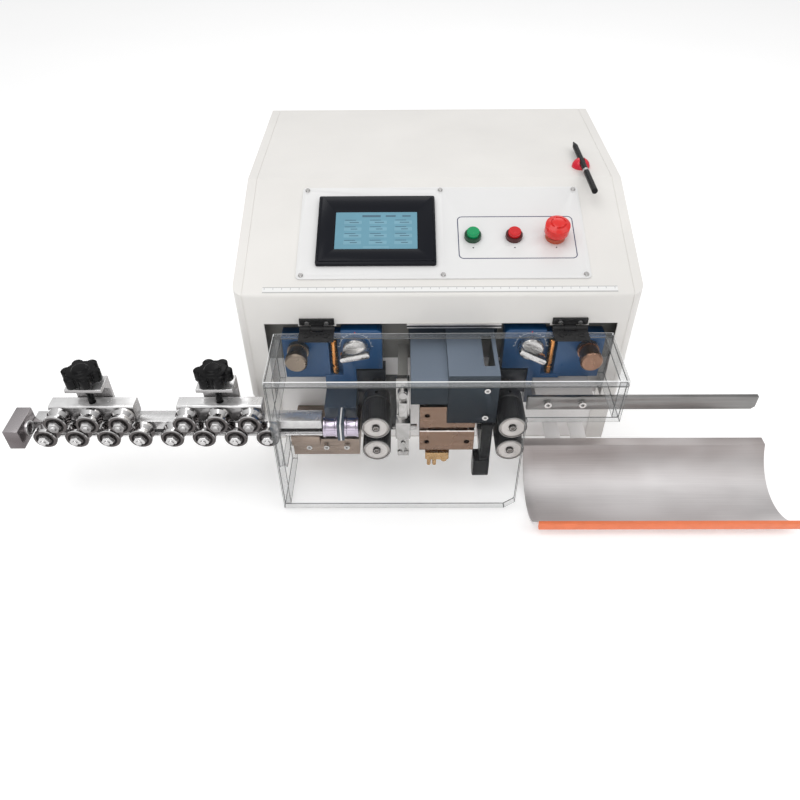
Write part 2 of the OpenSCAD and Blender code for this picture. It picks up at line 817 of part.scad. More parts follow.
// roller with hub, front washer and socket screw, on its own shaft
module feed_roller(s, z, back) {
  x = mech_x + s * pair_x;
  l = roll_l;
  difference() {
    turned_y(x, z, -roll_front)
      polygon([
        [0, -1.2], [4.5, -1.2], [4.5, 1], [6.5, 1], [6.5, 0.4], [13.2, 0.4], [14, 1.2], [14.4, 1.2],
        [15, 0], [roll_r - 0.8, 0], [roll_r, 0.8], [roll_r, l * 0.66], [roll_r - 1, l * 0.66 + 1],
        [roll_r - 1, l * 0.66 + 2.5], [roll_r, l * 0.66 + 3.5], [roll_r, l - 0.8],
        [roll_r - 0.8, l], [shaft_r, l], [shaft_r, back], [0, back]
      ]);
    hex_y(x, z, -roll_front - 2, -roll_front + 2, 2.9);
    translate([x, -roll_front + l * 0.83, z]) cylinder(r = 2.2, h = roll_r + 2);
    for (i = [0:35])
      rotate_about(x, z, i * 10)
        translate([roll_r - 0.4, -roll_front + 2, -0.35]) cube([1, l * 0.66 - 4, 0.7]);
  }
}

// turns children about an axis along Y
module rotate_about(x, z, a)
  translate([x, 0, z]) rotate([0, a, 0]) children();

module infeed_upper_roller() color("black") at() feed_roller(-1, up_z, roll_front + mech_y1 - 2);

module infeed_lower_roller() color("black") at() feed_roller(-1, low_z, roll_front + mech_y1 + 24);

module outfeed_upper_roller() color("black") at() feed_roller(1, up_z, roll_front + mech_y1 - 2);

module outfeed_lower_roller() color("black") at() feed_roller(1, low_z, roll_front + mech_y1 + 24);

// stiff sheet hood over the cutter head, stepped in the middle
module head_cover() color("slategray") at() {
  t = hood_t;
  bend_y = hood_yl + hood_bend;
  bend_top = hood_zl - hood_bend;
  low_l = wire_z + 47;
  low_r = wire_z + 13;
  // left half with a rounded front edge
  along_x(head_l, head_m) difference() {
    union() {
      square_yz(bend_y, mech_y0, bend_top - hood_bend, hood_zl);
      square_yz(hood_yl, mech_y0, low_l, bend_top);
      translate([bend_y, bend_top]) circle(hood_bend);
    }
    square_yz(bend_y, mech_y0 + 1, low_l - 10, hood_zl - t);
    square_yz(hood_yl + t, mech_y0 + 1, low_l - 10, bend_top);
    translate([bend_y, bend_top]) circle(hood_bend - t);
  }
  along_x(head_l, head_l + t) square_yz(hood_yl + 6, mech_y0, low_l + 2, hood_zl - 1);
  // right half, taller and with a deeper front
  difference() {
    box(head_m, head_r, hood_yr, mech_y0, low_r, hood_zr);
    box(head_m - 1, head_r - t, hood_yr + t, mech_y0 + 1, low_r - 26, hood_zr - t);
    // window over the blades
    box(head_r - 17, head_r - 5, hood_yr + 18, hood_yr + 76, hood_zr - 10, hood_zr + 1);
    for (z = hood_screws)
      rod_y(hood_screw_x, z, hood_yr - 1, hood_yr + 10, 2.1);
  }
  box(head_m, head_m + t, hood_yr, mech_y0, hood_zl - t, hood_zr);
  // rear flange under the housing edge
  box(head_l - 2, head_r + 4, mech_y0 - t, mech_y0, bend_top, hood_zr + 13);
}

// pair of blade blocks; s is 1 for the upper and -1 for the lower
module blade_block(s) {
  bx0 = stem_x0 - 24.8;
  bx1 = stem_x1 + 24.8;
  translate([0, 0, wire_z]) mirror([0, 0, s > 0 ? 0 : 1]) {
    difference() {
      union() {
        box(bx0, bx1, block_y, block_y + 32.5, blade_gap, block_h);
        box(bx0 + 8.5, bx1 - 8.5, block_y, block_y + 38.5, 8, block_h);
        box(stem_x0, stem_x1, block_y + 31.5, mech_y1 - 3, 10, block_h);
      }
      // relief for the wire between the blades
      rod_x(-wire_y, 0, bx0 - 1, bx1 + 1, 5);
      for (x = [bx0 + 9, bx1 - 9])
        rod_y(x, 22, block_y - 7.5, block_y + 6.5, 3.2);
    }
    for (x = [bx0 + 8.5, (bx0 + bx1) / 2, bx1 - 8.5])
      translate([x + (s > 0 ? -blade_t - 0.2 : 0.2), 0, 0]) blade();
  }
}

// flat blade with a right-angled notch for the wire
module blade() along_x(0, blade_t)
  polygon([
    [block_y, blade_edge], [-wire_y - notch, blade_edge], [-wire_y, blade_edge + notch],
    [-wire_y + notch, blade_edge], [block_y + 28.5, blade_edge], [block_y + 28.5, 12], [block_y, 12]
  ]);

module upper_blade_block() color("rosybrown") at() blade_block(1);

module lower_blade_block() color("rosybrown") at() blade_block(-1);

module infeed_guides() color("silver") at() {
  x = mech_x - pair_x;
  for (s = [-1, 1])
    translate([x - 43.25 + s * 4.25, -wire_y, wire_z]) rotate([0, s * 90, 0])
      rotate_extrude()
        polygon([
          [guide_bore_r, 0], [12.5, 0], [12.5, 2.5], [11.5, 3], [11.5, 14], [12.5, 14.5],
          [12.5, 17], [guide_bore_r + 2.5, 17], [guide_bore_r, 14]
        ]);
  // upright that carries the last guide tube before the blades
  difference() {
    union() {
      box(post_x - 8, post_x + 8, post_y - 12, post_y, wire_z - 17, wire_z + 67);
      box(post_x - 9, post_x + 9, -wire_y - 8, post_y, wire_z - 13, wire_z + 13);
      box(post_x - 7, post_x + 7, -wire_y - 2, post_y - 4, wire_z - 49, wire_z - 13);
      box(post_x - 5, post_x + 5, post_y - 17, post_y - 12, wire_z + 13, wire_z + 37);
      rod_y(post_x, wire_z + 53, post_y - 20, post_y - 12, 6);
      rod_y(post_x, wire_z + 53, post_y - 22, post_y - 20, 5);
      rod_x(-wire_y, wire_z, post_x - 13, post_x + 17, tube_r);
      for (p = [[-4, -41], [4, -41], [0, -25]])
        rod_y(post_x + p[0], wire_z + p[1], -wire_y - 5, -wire_y - 2, 3);
    }
    rod_x(-wire_y, wire_z, post_x - 20, post_x + 40, tube_bore_r);
  }
}

module outfeed_guide() color("black") at()
  difference() {
    union() {
      box(out_x0, out_x1, out_y - 18, out_y, wire_z - 53, wire_z + 9);
      box(out_x0 - 7, out_x1, out_y - 20, out_y + 2, wire_z - 73, wire_z - 51);
      rod_x(out_y - 9, wire_z - 73, out_x0 - 7, out_x1, 11);
      rod_x(-wire_y, wire_z, out_x0 - 5, out_x1 + 1, tube_r);
    }
    rod_x(-wire_y, wire_z, out_x0 - 15, out_x1 + 12, tube_bore_r);
    box(out_x0 + 3, out_x1 - 3, out_y - 22, out_y - 16, wire_z - 47, wire_z - 9);
  }

module lower_rail() color("rosybrown") at()
  difference() {
    union() {
      box(foot_rail_x0, foot_rail_x1, foot_rail_y, mech_y0, foot_rail_z, foot_rail_z + foot_rail_h);
      box(foot_rail_x0, rail_x1 - 4, rail_y0 - 2, rail_y1 + 2, foot_rail_z + foot_rail_h - 4, rail_z0);
    }
    for (x = foot_rail_screws)
      rod_y(x, foot_rail_z + 16, foot_rail_y - 1, foot_rail_y + 10, 2.1);
  }

module support_bar() color("silver") at()
  difference() {
    along_y(bar_y, bar_y + bar_t)
      polygon([
        [bar_x0, bar_z0], [bar_x1 - 4, bar_z0], [bar_x1, bar_z0 + 4], [bar_x1, bar_z1], [bar_x0, bar_z1]
      ]);
    for (x = bar_screws)
      rod_y(x, bar_screw_z, bar_y - 2, bar_y + bar_t + 3, 2.6);
  }

module brass_fittings() color("goldenrod") at() {
  // pressure rods in the slots of the roller housings
  both_hands() {
    translate([mech_x - rod_slot_x, blue_y + 6, wire_z + 32])
      rotate_extrude()
        polygon([[0, 0], [4, 0], [4, 10], [2.5, 11], [2.5, 14], [4, 15], [4, 50], [3, 51], [0, 51]]);
  }
  // twin oil nozzle under the blades
  x = nozzle_x;
  z = nozzle_z;
  difference() {
    union() {
      translate([x + 1, nozzle_y, z + 2]) linear_extrude(12) rounded(30, 12, 3);
      rod_y(x, z, nozzle_y + 5, mech_y1, nozzle_r);
      for (d = [-9, -2])
        rod_z(x + d, nozzle_y, z - 12, z + 4, 2.6);
      rod_z(x + 10, nozzle_y, z - 4, z + 14, 4);
    }
    for (d = [-9, -2])
      rod_z(x + d, nozzle_y, z - 13, z + 8, 1.1);
  }
}

// Straightener

// axle with shoulder and hexagon head in front of the roller
module axle(x, z) {
  rod_y(x, z, str_y0 - 1, rail_y0 + 1, axle_r);
  rod_y(x, z, str_y1 + 0.3, rail_y0 + 1, axle_r + 2.5);
  hex_y(x, z, str_y0 - 5.3, str_y0 - 0.3, 7.2);
  rod_y(x, z, str_y0 - 8, str_y0 - 5, axle_r - 0.5);
}

module straightener_rail() color("silver") at() {
  difference() {
    box(rail_x0, rail_x1, rail_y0, rail_y1, rail_z0, rail_z1);
    // long groove along the front
    box(rail_x0 - 1, rail_x1 + 1, rail_y0 - 1, rail_y0 + 3, rail_z0 + 3, rail_z0 + 7);
  }
  for (i = [0:low_n - 1])
    axle(low_x - i * str_pitch, str_low_z);
  for (x = unit_x, s = [-1, 1])
    rod_z(x + s * str_pitch, car_y, rail_z1 - 1, car_z0 + 15, 3);
}

module straightener_fittings() color("silver") at() {
  // end block with the wire eye
  difference() {
    union() {
      box(rail_x0 - end_t, rail_x0, -wire_y - 22, rail_y0 + 10, wire_z - 14, wire_z + 14);
      translate([rail_x0, -wire_y, wire_z]) rotate([0, 90, 0]) cylinder(r = eye_r + 3.5, h = 3);
    }
    rod_x(-wire_y, wire_z, rail_x0 - end_t - 1, rail_x0 + 5, eye_r);
  }
  // brackets that hold the adjusting screws
  for (x = unit_x) {
    difference() {
      union() {
        box(x - 22, x + 22, rail_y1, rail_y1 + 5, rail_z0 + 2, brk_z + 5);
        box(x - 22, x + 22, rail_y0 - 2, rail_y1 + 5, brk_z, brk_z + 5);
        for (s = [-1, 1])
          along_x(x + s * 20 - 2, x + s * 20 + 2)
            polygon([[rail_y1, brk_z], [rail_y1 - 12, brk_z], [rail_y1, brk_z - 12]]);
      }
      rod_z(x, car_y, brk_z - 1, brk_z + 6, 4 + shaft_fit);
      for (s = [-1, 1])
        rod_y(x + s * 12, rail_z0 + 12, rail_y1 - 1, rail_y1 + 6, 2.6);
    }
  }
}

// six-lobed hand knob with its captive screw
module star_knob(x) translate([x, car_y, 0]) {
  rod_z(0, 0, car_z0 + 6, brk_z + 10, 4);
  rod_z(0, 0, brk_z - 5, brk_z - 0.3, 7.5);
  rod_z(0, 0, brk_z + 5.3, brk_z + 12, 9);
  rod_z(0, 0, brk_z + 11, brk_z + 27, star_r - 6.5);
  for (i = [0:5])
    rotate([0, 0, i * 60]) translate([star_r - 6.6, 0, 0]) {
      rod_z(0, 0, brk_z + 12, brk_z + 25, 6.6);
      rod_z(0, 0, brk_z + 12.8, brk_z + 26, 5.8);
    }
  translate([0, 0, brk_z + 27]) cylinder(r1 = 11, r2 = 8, h = 3);
}

module star_knob_a() color("black") at() star_knob(unit_x[0]);

module star_knob_b() color("black") at() star_knob(unit_x[1]);

module carriage(x) {
  difference() {
    along_x(x - car_w / 2, x + car_w / 2)
      polygon([
        [rail_y0, car_z0], [rail_y1, car_z0], [rail_y1, car_z1 - 2], [rail_y1 - 2, car_z1],
        [rail_y0 + 2, car_z1], [rail_y0, car_z1 - 2]
      ]);
    rod_z(x, car_y, car_z0 - 1, car_z1 + 1, 4.3);
    for (s = [-1, 1])
      rod_z(x + s * str_pitch, car_y, car_z0 - 1, car_z0 + 18, 3 + shaft_fit);
    // relief on the back where the bracket stands
    box(x - 24, x + 24, rail_y1 - slide_gap, rail_y1 + 1, car_z0 - 1, car_z1 + 1);
  }
  for (i = [-1, 0, 1])
    axle(x + i * str_pitch, str_up_z);
}

module carriage_a() color("silver") at() carriage(unit_x[0]);

module carriage_b() color("silver") at() carriage(unit_x[1]);

// grooved roller on a ball bearing
module str_roller(x, z) {
  b = axle_r + shaft_fit;
  turned_y(x, z, str_y0)
    polygon([
      [b, 0], [7.6, 0], [7.6, 1.2], [10.4, 1.2], [10.4, 0], [str_r - 1, 0], [str_r, 1], [str_r, 4],
      [str_r - 3.5, str_w / 2 - 1], [str_r - 3.5, str_w / 2 + 1], [str_r, str_w - 4],
      [str_r, str_w - 1], [str_r - 1, str_w], [b, str_w]
    ]);
}

module low_roller(i) color("silver") at() str_roller(low_x - (low_n - i) * str_pitch, str_low_z);

module up_roller(i) color("silver") at()
  str_roller(unit_x[i > 3 ? 1 : 0] + ((i - 1) % 3 - 1) * str_pitch, str_up_z);

// Tray

// arc of the tray between the front lip and the back edge, with its hanging flange
module tray_profile(r_in) {
  a0 = -90 - tray_front;
  a1 = -tray_back + 1.2;
  difference() {
    translate([tray_y, tray_z]) circle(tray_r + tray_t);
    translate([tray_y, tray_z]) circle(r_in);
    polygon([
      [tray_y, tray_z],
      [tray_y + 200 * cos(a0), tray_z + 200 * sin(a0)],
      [tray_y - 300, tray_z + 300],
      [tray_y + 300, tray_z + 300],
      [tray_y + 200 * cos(a1), tray_z + 200 * sin(a1)]
    ]);
  }
  square_yz(hook_y() + tray_t / 2, hook_y() + 14, hook_z(), hook_z() + tray_t);
}

module wire_tray() color("silver") at()
  difference() {
    along_x(tray_x0, tray_x1) tray_profile(tray_r - band_t);
    // leaves the doubled band at the machine end
    rod_x(tray_y, tray_z, tray_x0 + band_w, tray_x1 + 1, tray_r);
  }

module tray_edge_strip() color("orangered") at()
  along_x(tray_x0 + 8, tray_x1 + lip_over) difference() {
    translate([lip_y, lip_z]) square_yz(-4, 4, -lip_h + 3, 3);
    tray_profile(tray_r);
    square_yz(lip_y + 1, lip_y + 10, lip_z - 20, lip_z + 20);
  }

// Drives and screws

module drive_motors() color("dimgray") at() {
  for (x = [mech_x - pair_x, mech_x + pair_x])
    difference() {
      union() {
        box(x - gear_w / 2, x + gear_w / 2, mech_y1, mech_y1 + gear_d,
          low_z - gear_w / 2, low_z + gear_w / 2);
        box(x - motor_w / 2, x + motor_w / 2, mech_y1 + gear_d, mech_y1 + gear_d + motor_d,
          low_z - motor_w / 2, low_z + motor_w / 2);
      }
      rod_y(x, low_z, mech_y1 - 1, mech_y1 + 28, shaft_r + 1);
      box(x - 10, x + 10, mech_y1 - 1, mech_y1 + 3, up_z - 14 - lift_down, up_z + 20);
    }
  difference() {
    union() {
      box(stem_m - 35, stem_m + 35, mech_y1, mech_y1 + 30, drive_z, drive_z + gear_w);
      box(stem_m - motor_w / 2, stem_m + motor_w / 2, mech_y1 + 30, mech_y1 + 30 + motor_d,
        drive_z + 2, drive_z + 2 + motor_w);
    }
    box(stem_x0 - 1.3, stem_x1 + 1.3, mech_y1 - 1, mech_y1 + 20, drive_z - 1, drive_z + 35);
  }
}

// pan head screw standing on its surface, shank below
module pan_screw(r, l)
  rotate_extrude()
    polygon([[0, -l], [r * 0.5, -l], [r * 0.5, 0], [r, 0],
      [r, r * 0.35], [r * 0.75, r * 0.7], [0, r * 0.7]]);

// socket head screw pointing to the back
module socket_screw(x, y, z, r, l) difference() {
  union() {
    rod_y(x, z, y - r * 1.1, y, r);
    rod_y(x, z, y - 1, y + l, r * 0.55);
  }
  hex_y(x, z, y - r * 1.1 - 1, y - r * 0.4, r * 0.55);
}

module fasteners() color("silver") at() {
  panel_screws_at() pan_screw(3, 6);
  hinge_screws_at() translate([0, -3, 0]) rotate([90, 0, 0]) pan_screw(2.8, 7);
  for (z = hood_screws)
    socket_screw(hood_screw_x, hood_yr, z, 3.6, 6);
  for (x = foot_rail_screws)
    socket_screw(x, foot_rail_y, foot_rail_z + 16, 3.6, 8);
  for (x = bar_screws)
    socket_screw(x, bar_y, bar_screw_z, 4.4, 5);
}

base_chassis();
top_cover();
side_panels();
feet();
control_panel();
fasteners();
touch_screen();
button_collars();
scale_strip();
pen_holder();
power_inlet();
mechanism_plate();
hinge_fixed_leaves();
roller_housings();
pivot_pins();
head_cover();
infeed_guides();
outfeed_guide();
lower_rail();
support_bar();
brass_fittings();
straightener_rail();
straightener_fittings();
drive_motors();
safety_cover();
hinge_moving_leaves();
start_button();
stop_button();
emergency_stop();
infeed_dial();
outfeed_dial();
infeed_carrier();
outfeed_carrier();
infeed_upper_roller();
infeed_lower_roller();
outfeed_upper_roller();
outfeed_lower_roller();
upper_blade_block();
lower_blade_block();
star_knob_a();
star_knob_b();
carriage_a();
carriage_b();
low_roller(1);  // low_roller_1
low_roller(2);  // low_roller_2
low_roller(3);  // low_roller_3
low_roller(4);  // low_roller_4
low_roller(5);  // low_roller_5
low_roller(6);  // low_roller_6
low_roller(7);  // low_roller_7
low_roller(8);  // low_roller_8
up_roller(1);  // up_roller_1
up_roller(2);  // up_roller_2
up_roller(3);  // up_roller_3
up_roller(4);  // up_roller_4
up_roller(5);  // up_roller_5
up_roller(6);  // up_roller_6
stylus_pen();
wire_tray();
tray_edge_strip();
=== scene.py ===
"""Looks of a benchtop wire cutting and stripping machine, built around its fixed frame."""

import json
import math

import bmesh
import bpy
from mathutils import Matrix, Vector


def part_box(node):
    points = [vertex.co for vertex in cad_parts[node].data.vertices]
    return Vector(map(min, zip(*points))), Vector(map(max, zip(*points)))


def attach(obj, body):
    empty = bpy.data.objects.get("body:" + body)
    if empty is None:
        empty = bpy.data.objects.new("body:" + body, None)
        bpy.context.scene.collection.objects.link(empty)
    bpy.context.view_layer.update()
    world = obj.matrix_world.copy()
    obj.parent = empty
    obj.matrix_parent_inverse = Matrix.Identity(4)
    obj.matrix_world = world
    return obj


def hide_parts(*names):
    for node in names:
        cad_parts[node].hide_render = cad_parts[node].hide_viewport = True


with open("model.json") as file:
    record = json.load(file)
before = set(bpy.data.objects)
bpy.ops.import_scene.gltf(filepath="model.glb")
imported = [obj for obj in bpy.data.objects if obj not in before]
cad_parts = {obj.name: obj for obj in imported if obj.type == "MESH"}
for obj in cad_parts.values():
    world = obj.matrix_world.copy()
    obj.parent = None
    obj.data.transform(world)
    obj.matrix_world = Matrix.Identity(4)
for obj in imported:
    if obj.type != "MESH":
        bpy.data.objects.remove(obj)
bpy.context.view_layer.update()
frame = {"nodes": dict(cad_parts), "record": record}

# Places are given in millimetres from the middle of the machine's front face, on the table.
MM = 0.001
HOUSE_LO, HOUSE_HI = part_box("top_cover")
ORIGIN_X = (HOUSE_LO.x + HOUSE_HI.x) / 2
ORIGIN_Y = HOUSE_LO.y

# Sizes that the solids use too, in millimetres
BEND_Z = 265.0
SLOPE = math.atan2(59.0, 175.0)
WIRE_Z = 113.0
MECH_X = 8.5
PAIR_X = 80.5
ROLL_PITCH = 37.4
ROLL_FRONT = -80.0
DIAL_X = 105.5
DIAL_Z = 190.0
BLUE_Y = 2.0
STR_PITCH = 39.0
STR_LOW_X = -205.0
STR_RISE = 23.0
STR_FRONT = -67.0
PLATE_T = 2.0
BTN_X = 92.5
BTN_PITCH = 49.0
HMI_X = -71.0
HMI_U = 93.5


def mm(x, y, z):
    """Point of the frame, in metres, from machine millimetres."""
    return Vector((ORIGIN_X + x * MM, ORIGIN_Y + y * MM, z * MM))


def on_slope(x, u, h):
    """Point on the control slope: x across, u up the slope, h off the sheet."""
    y = u * math.cos(SLOPE) - h * math.sin(SLOPE)
    z = BEND_Z + u * math.sin(SLOPE) + h * math.cos(SLOPE)
    return mm(x, y, z)


def frame_x(*places):
    """Places across the machine as X of the frame, in metres."""
    return [mm(x, 0, 0).x for x in places]


def frame_y(*places):
    """Places front to back as Y of the frame, in metres."""
    return [mm(0, y, 0).y for y in places]


def slope_y(*places):
    """Places up the control slope as Y of the frame, in metres."""
    return [on_slope(0, u, 0).y for u in places]


# Noise scales that the finishes share
BLOTCH = 9.0
GLOSS = 60.0
SHEEN = 90.0
MOTTLE = 120.0
PEEL = 520.0
TOOTH = 900.0

# Depth of bump in the finishes, in metres
HAIR = 0.0001
GRAIN = 0.0002
COAT = 0.0004


class Shader:
    """Small helper around one procedural material."""

    def __init__(self, name, rough=0.5, metal=0.0):
        self.mat = bpy.data.materials.new(name)
        self.mat.use_nodes = True
        self.tree = self.mat.node_tree
        self.bsdf = self.tree.nodes["Principled BSDF"]
        self.bsdf.inputs["Roughness"].default_value = rough
        self.bsdf.inputs["Metallic"].default_value = metal
        self._coords = None
        self._bump = None

    def set(self, **values):
        """Constants on the shader's own sockets; _ stands for a space."""
        for key, value in values.items():
            self.bsdf.inputs[key.replace("_", " ")].default_value = value
        return self

    def node(self, kind):
        return self.tree.nodes.new(kind)

    def link(self, out, socket):
        self.tree.links.new(out, socket)

    def coords(self):
        """Coordinates of the piece, which are the frame's at rest."""
        if self._coords is None:
            self._coords = self.node("ShaderNodeTexCoord").outputs["Object"]
        return self._coords

    def mapped(self, stretch):
        """Coordinates scaled along each axis; a small number makes lines along it."""
        mapping = self.node("ShaderNodeMapping")
        mapping.inputs["Scale"].default_value = stretch
        self.link(self.coords(), mapping.inputs["Vector"])
        return mapping.outputs["Vector"]

    def noise(self, scale, detail=3.0, stretch=None):
        """Soft noise from 0 to 1, around 0.5."""
        tex = self.node("ShaderNodeTexNoise")
        tex.inputs["Scale"].default_value = scale
        tex.inputs["Detail"].default_value = detail
        self.link(self.mapped(stretch) if stretch else self.coords(), tex.inputs["Vector"])
        return tex.outputs["Fac"]

    def remap(self, value, lo, hi, from_lo=0.3, from_hi=0.7):
        """Linear change from one range to another, held at its ends."""
        node = self.node("ShaderNodeMapRange")
        node.inputs["From Min"].default_value = from_lo
        node.inputs["From Max"].default_value = from_hi
        node.inputs["To Min"].default_value = lo
        node.inputs["To Max"].default_value = hi
        self.link(value, node.inputs["Value"])
        return node.outputs["Result"]

    def mix(self, fac, a, b):
        """Colour a where fac is 0, b where it is 1."""
        node = self.node("ShaderNodeMix")
        node.data_type = "RGBA"
        self.link(fac, node.inputs["Factor"])
        for socket, value in ((node.inputs[6], a), (node.inputs[7], b)):
            if isinstance(value, (tuple, list)):
                socket.default_value = (*value, 1.0)
            else:
                self.link(value, socket)
        return node.outputs[2]

    def math(self, kind, a, b=None, clamp=False):
        node = self.node("ShaderNodeMath")
        node.operation = kind
        node.use_clamp = clamp
        for socket, value in zip(node.inputs, (a, b)):
            if value is None:
                continue
            if isinstance(value, (int, float)):
                socket.default_value = value
            else:
                self.link(value, socket)
        return node.outputs["Value"]

    def axis(self, name):
        """One coordinate of the piece, in metres."""
        split = self.node("ShaderNodeSeparateXYZ")
        self.link(self.coords(), split.inputs["Vector"])
        return split.outputs[name]

    def upness(self):
        """How far the surface faces up: 1 for a top, 0 for a wall."""
        split = self.node("ShaderNodeSeparateXYZ")
        self.link(self.node("ShaderNodeNewGeometry").outputs["Normal"], split.inputs["Vector"])
        return split.outputs["Z"]

    def within(self, name, lo, hi, soft=0.0002):
        """1 between lo and hi along an axis of the frame, in metres."""
        value = self.axis(name)
        rise = self.remap(value, 0.0, 1.0, lo - soft, lo + soft)
        fall = self.remap(value, 1.0, 0.0, hi - soft, hi + soft)
        return self.math("MULTIPLY", rise, fall, clamp=True)

    def radius(self, first, second, centre):
        """Distance from an axis through centre, in metres, over two of the frame's axes."""
        a = self.math("SUBTRACT", self.axis(first), centre[0])
        b = self.math("SUBTRACT", self.axis(second), centre[1])
        total = self.math("ADD", self.math("MULTIPLY", a, a), self.math("MULTIPLY", b, b))
        return self.math("SQRT", total)

    def colour(self, source):
        if isinstance(source, (tuple, list)):
            self.bsdf.inputs["Base Color"].default_value = (*source, 1.0)
        else:
            self.link(source, self.bsdf.inputs["Base Color"])
        return self

    def rough(self, source):
        self.link(source, self.bsdf.inputs["Roughness"])
        return self

    def bump(self, height, strength, distance):
        """Adds a bump on top of those that are there."""
        node = self.node("ShaderNodeBump")
        node.inputs["Strength"].default_value = strength
        node.inputs["Distance"].default_value = distance
        self.link(height, node.inputs["Height"])
        if self._bump is not None:
            self.link(self._bump, node.inputs["Normal"])
        self._bump = node.outputs["Normal"]
        self.link(self._bump, self.bsdf.inputs["Normal"])
        return self


def shade(colour, k):
    """Colour made lighter or darker by a factor."""
    return tuple(min(1.0, c * k) for c in colour)


def paint(name, colour, rough=0.4, peel=0.10, spread=0.03):
    """Powder coat: faint orange peel, uneven gloss and a little handling dirt."""
    s = Shader(name)
    blotch = s.remap(s.noise(BLOTCH, 4.0), 0.0, 1.0)
    s.colour(s.mix(blotch, shade(colour, 1.0 - spread), shade(colour, 1.0 + spread)))
    s.rough(s.remap(s.noise(GLOSS, 4.0), rough - 0.05, rough + 0.07))
    s.bump(s.noise(PEEL, 2.0), peel, COAT)
    return s.mat


def plastic(name, colour, rough=0.3, grain=0.08, spread=0.05, uneven=0.07):
    """Moulded plastic: fine grain and slightly uneven gloss."""
    s = Shader(name)
    tone = s.remap(s.noise(70.0, 3.0), 0.0, 1.0)
    s.colour(s.mix(tone, shade(colour, 1.0 - spread), shade(colour, 1.0 + spread)))
    s.rough(s.remap(s.noise(160.0, 3.0), max(0.03, rough - uneven), rough + uneven))
    s.bump(s.noise(1400.0, 2.0), grain, GRAIN)
    s.set(Specular_IOR_Level=0.5 if max(colour) > 0.05 else 0.14)
    return s.mat


def brushed(name, colour, rough, stretch, spread):
    """Metal with fine lines along the axis that stretch makes long."""
    s = Shader(name, metal=1.0)
    lines = s.noise(TOOTH, 4.0, stretch)
    clouds = s.noise(28.0, 3.0)
    tone = s.remap(s.math("MULTIPLY", s.math("ADD", lines, clouds), 0.5), 0.0, 1.0, 0.38, 0.62)
    s.colour(s.mix(tone, shade(colour, 1.0 - spread), shade(colour, 1.0 + spread)))
    s.rough(s.remap(clouds, max(0.05, rough - 0.07), rough + 0.08))
    s.bump(lines, 0.10, GRAIN)
    return s.mat


# Near black for the painted shade of a slot
SLOT_SHADE_DARK = (0.012, 0.011, 0.011)


def painted_reflection_metal(name, top, front, rough=0.24, metal=1.0, slot_shade=None):
    """Polished metal with painted reflection: tops painted bright as if mirroring a ceiling, walls
    painted dark as if mirroring a dim room.

    The last argument holds the heights, in metres, of a dark line along the front: painted shade
    of a slot.
    """
    s = Shader(name, metal=metal)
    # Painted reflection: the colour goes from the wall colour to the top colour as the surface
    # turns to face up.
    upward = s.remap(s.upness(), 0.0, 1.0, 0.0, 0.8)
    tone = s.remap(s.noise(160.0, 3.0), 0.95, 1.05)
    # Painted shade of a slot: a dark band at the given heights.
    wall = front if slot_shade is None else s.mix(s.within("Z", *slot_shade), front, SLOT_SHADE_DARK)
    grey = s.mix(upward, wall, top)
    lit = s.node("ShaderNodeVectorMath")
    lit.operation = "SCALE"
    s.link(grey, lit.inputs[0])
    s.link(tone, lit.inputs["Scale"])
    s.colour(lit.outputs["Vector"])
    s.rough(s.remap(s.noise(SHEEN, 3.0), max(0.05, rough - 0.05), rough + 0.05))
    s.bump(s.noise(TOOTH, 2.0), 0.015, GRAIN)
    return s.mat


def cast(name, colour, rough=0.35, spread=0.06):
    """Bright metal with fine mottling and small handling marks."""
    s = Shader(name, metal=1.0)
    tone = s.remap(s.noise(MOTTLE, 3.0), 0.0, 1.0)
    s.colour(s.mix(tone, shade(colour, 1.0 - spread), shade(colour, 1.0 + spread)))
    s.rough(s.remap(s.noise(SHEEN, 3.0), max(0.05, rough - 0.05), rough + 0.05))
    s.bump(s.noise(TOOTH, 2.0), 0.010, GRAIN)
    return s.mat


def assign(material, *nodes):
    """Gives CAD nodes their finish."""
    for name in nodes:
        mesh = frame["nodes"][name].data
        mesh.materials.clear()
        mesh.materials.append(material)


def new_piece(name, mesh, materials, body):
    """Puts a new mesh in the scene, riding on a body."""
    for material in materials:
        mesh.materials.append(material)
    obj = bpy.data.objects.new(name, mesh)
    bpy.context.scene.collection.objects.link(obj)
    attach(obj, body)
    return obj


def finish_mesh(bm, name, smooth_angle=35.0):
    """Mesh from a bmesh, smooth apart from its sharp edges."""
    bmesh.ops.recalc_face_normals(bm, faces=bm.faces)
    mesh = bpy.data.meshes.new(name)
    bm.to_mesh(mesh)
    bm.free()
    for poly in mesh.polygons:
        poly.use_smooth = True
    mesh.set_sharp_from_angle(angle=math.radians(smooth_angle))
    return mesh


def prism(bm, outline, place, low, high, side_index=0):
    """Adds a closed prism; place maps outline coordinates and a height to a point."""
    bottom = [bm.verts.new(place(a, b, low)) for a, b in outline]
    top = [bm.verts.new(place(a, b, high)) for a, b in outline]
    bm.faces.new(top)
    bm.faces.new(list(reversed(bottom)))
    n = len(outline)
    for i in range(n):
        j = (i + 1) % n
        side = bm.faces.new((bottom[i], bottom[j], top[j], top[i]))
        side.material_index = side_index


def bevel_all(bm, width, angle=30.0, material=-1):
    """Rounds every sharp edge of a bmesh.

    material is the index of the new faces' material, or -1 for that of their neighbours.
    """
    bm.normal_update()
    limit = math.radians(angle)
    edges = [e for e in bm.edges if e.is_manifold and e.calc_face_angle(0.0) > limit]
    bmesh.ops.bevel(bm, geom=edges, offset=width, offset_type="OFFSET", segments=2,
                    profile=0.5, affect="EDGES", clamp_overlap=False, material=material)


def arc(cx, cy, r, start, end, steps):
    """Points of an arc, angles in degrees."""
    points = []
    for i in range(steps + 1):
        a = math.radians(start + (end - start) * i / steps)
        points.append((cx + r * math.cos(a), cy + r * math.sin(a)))
    return points


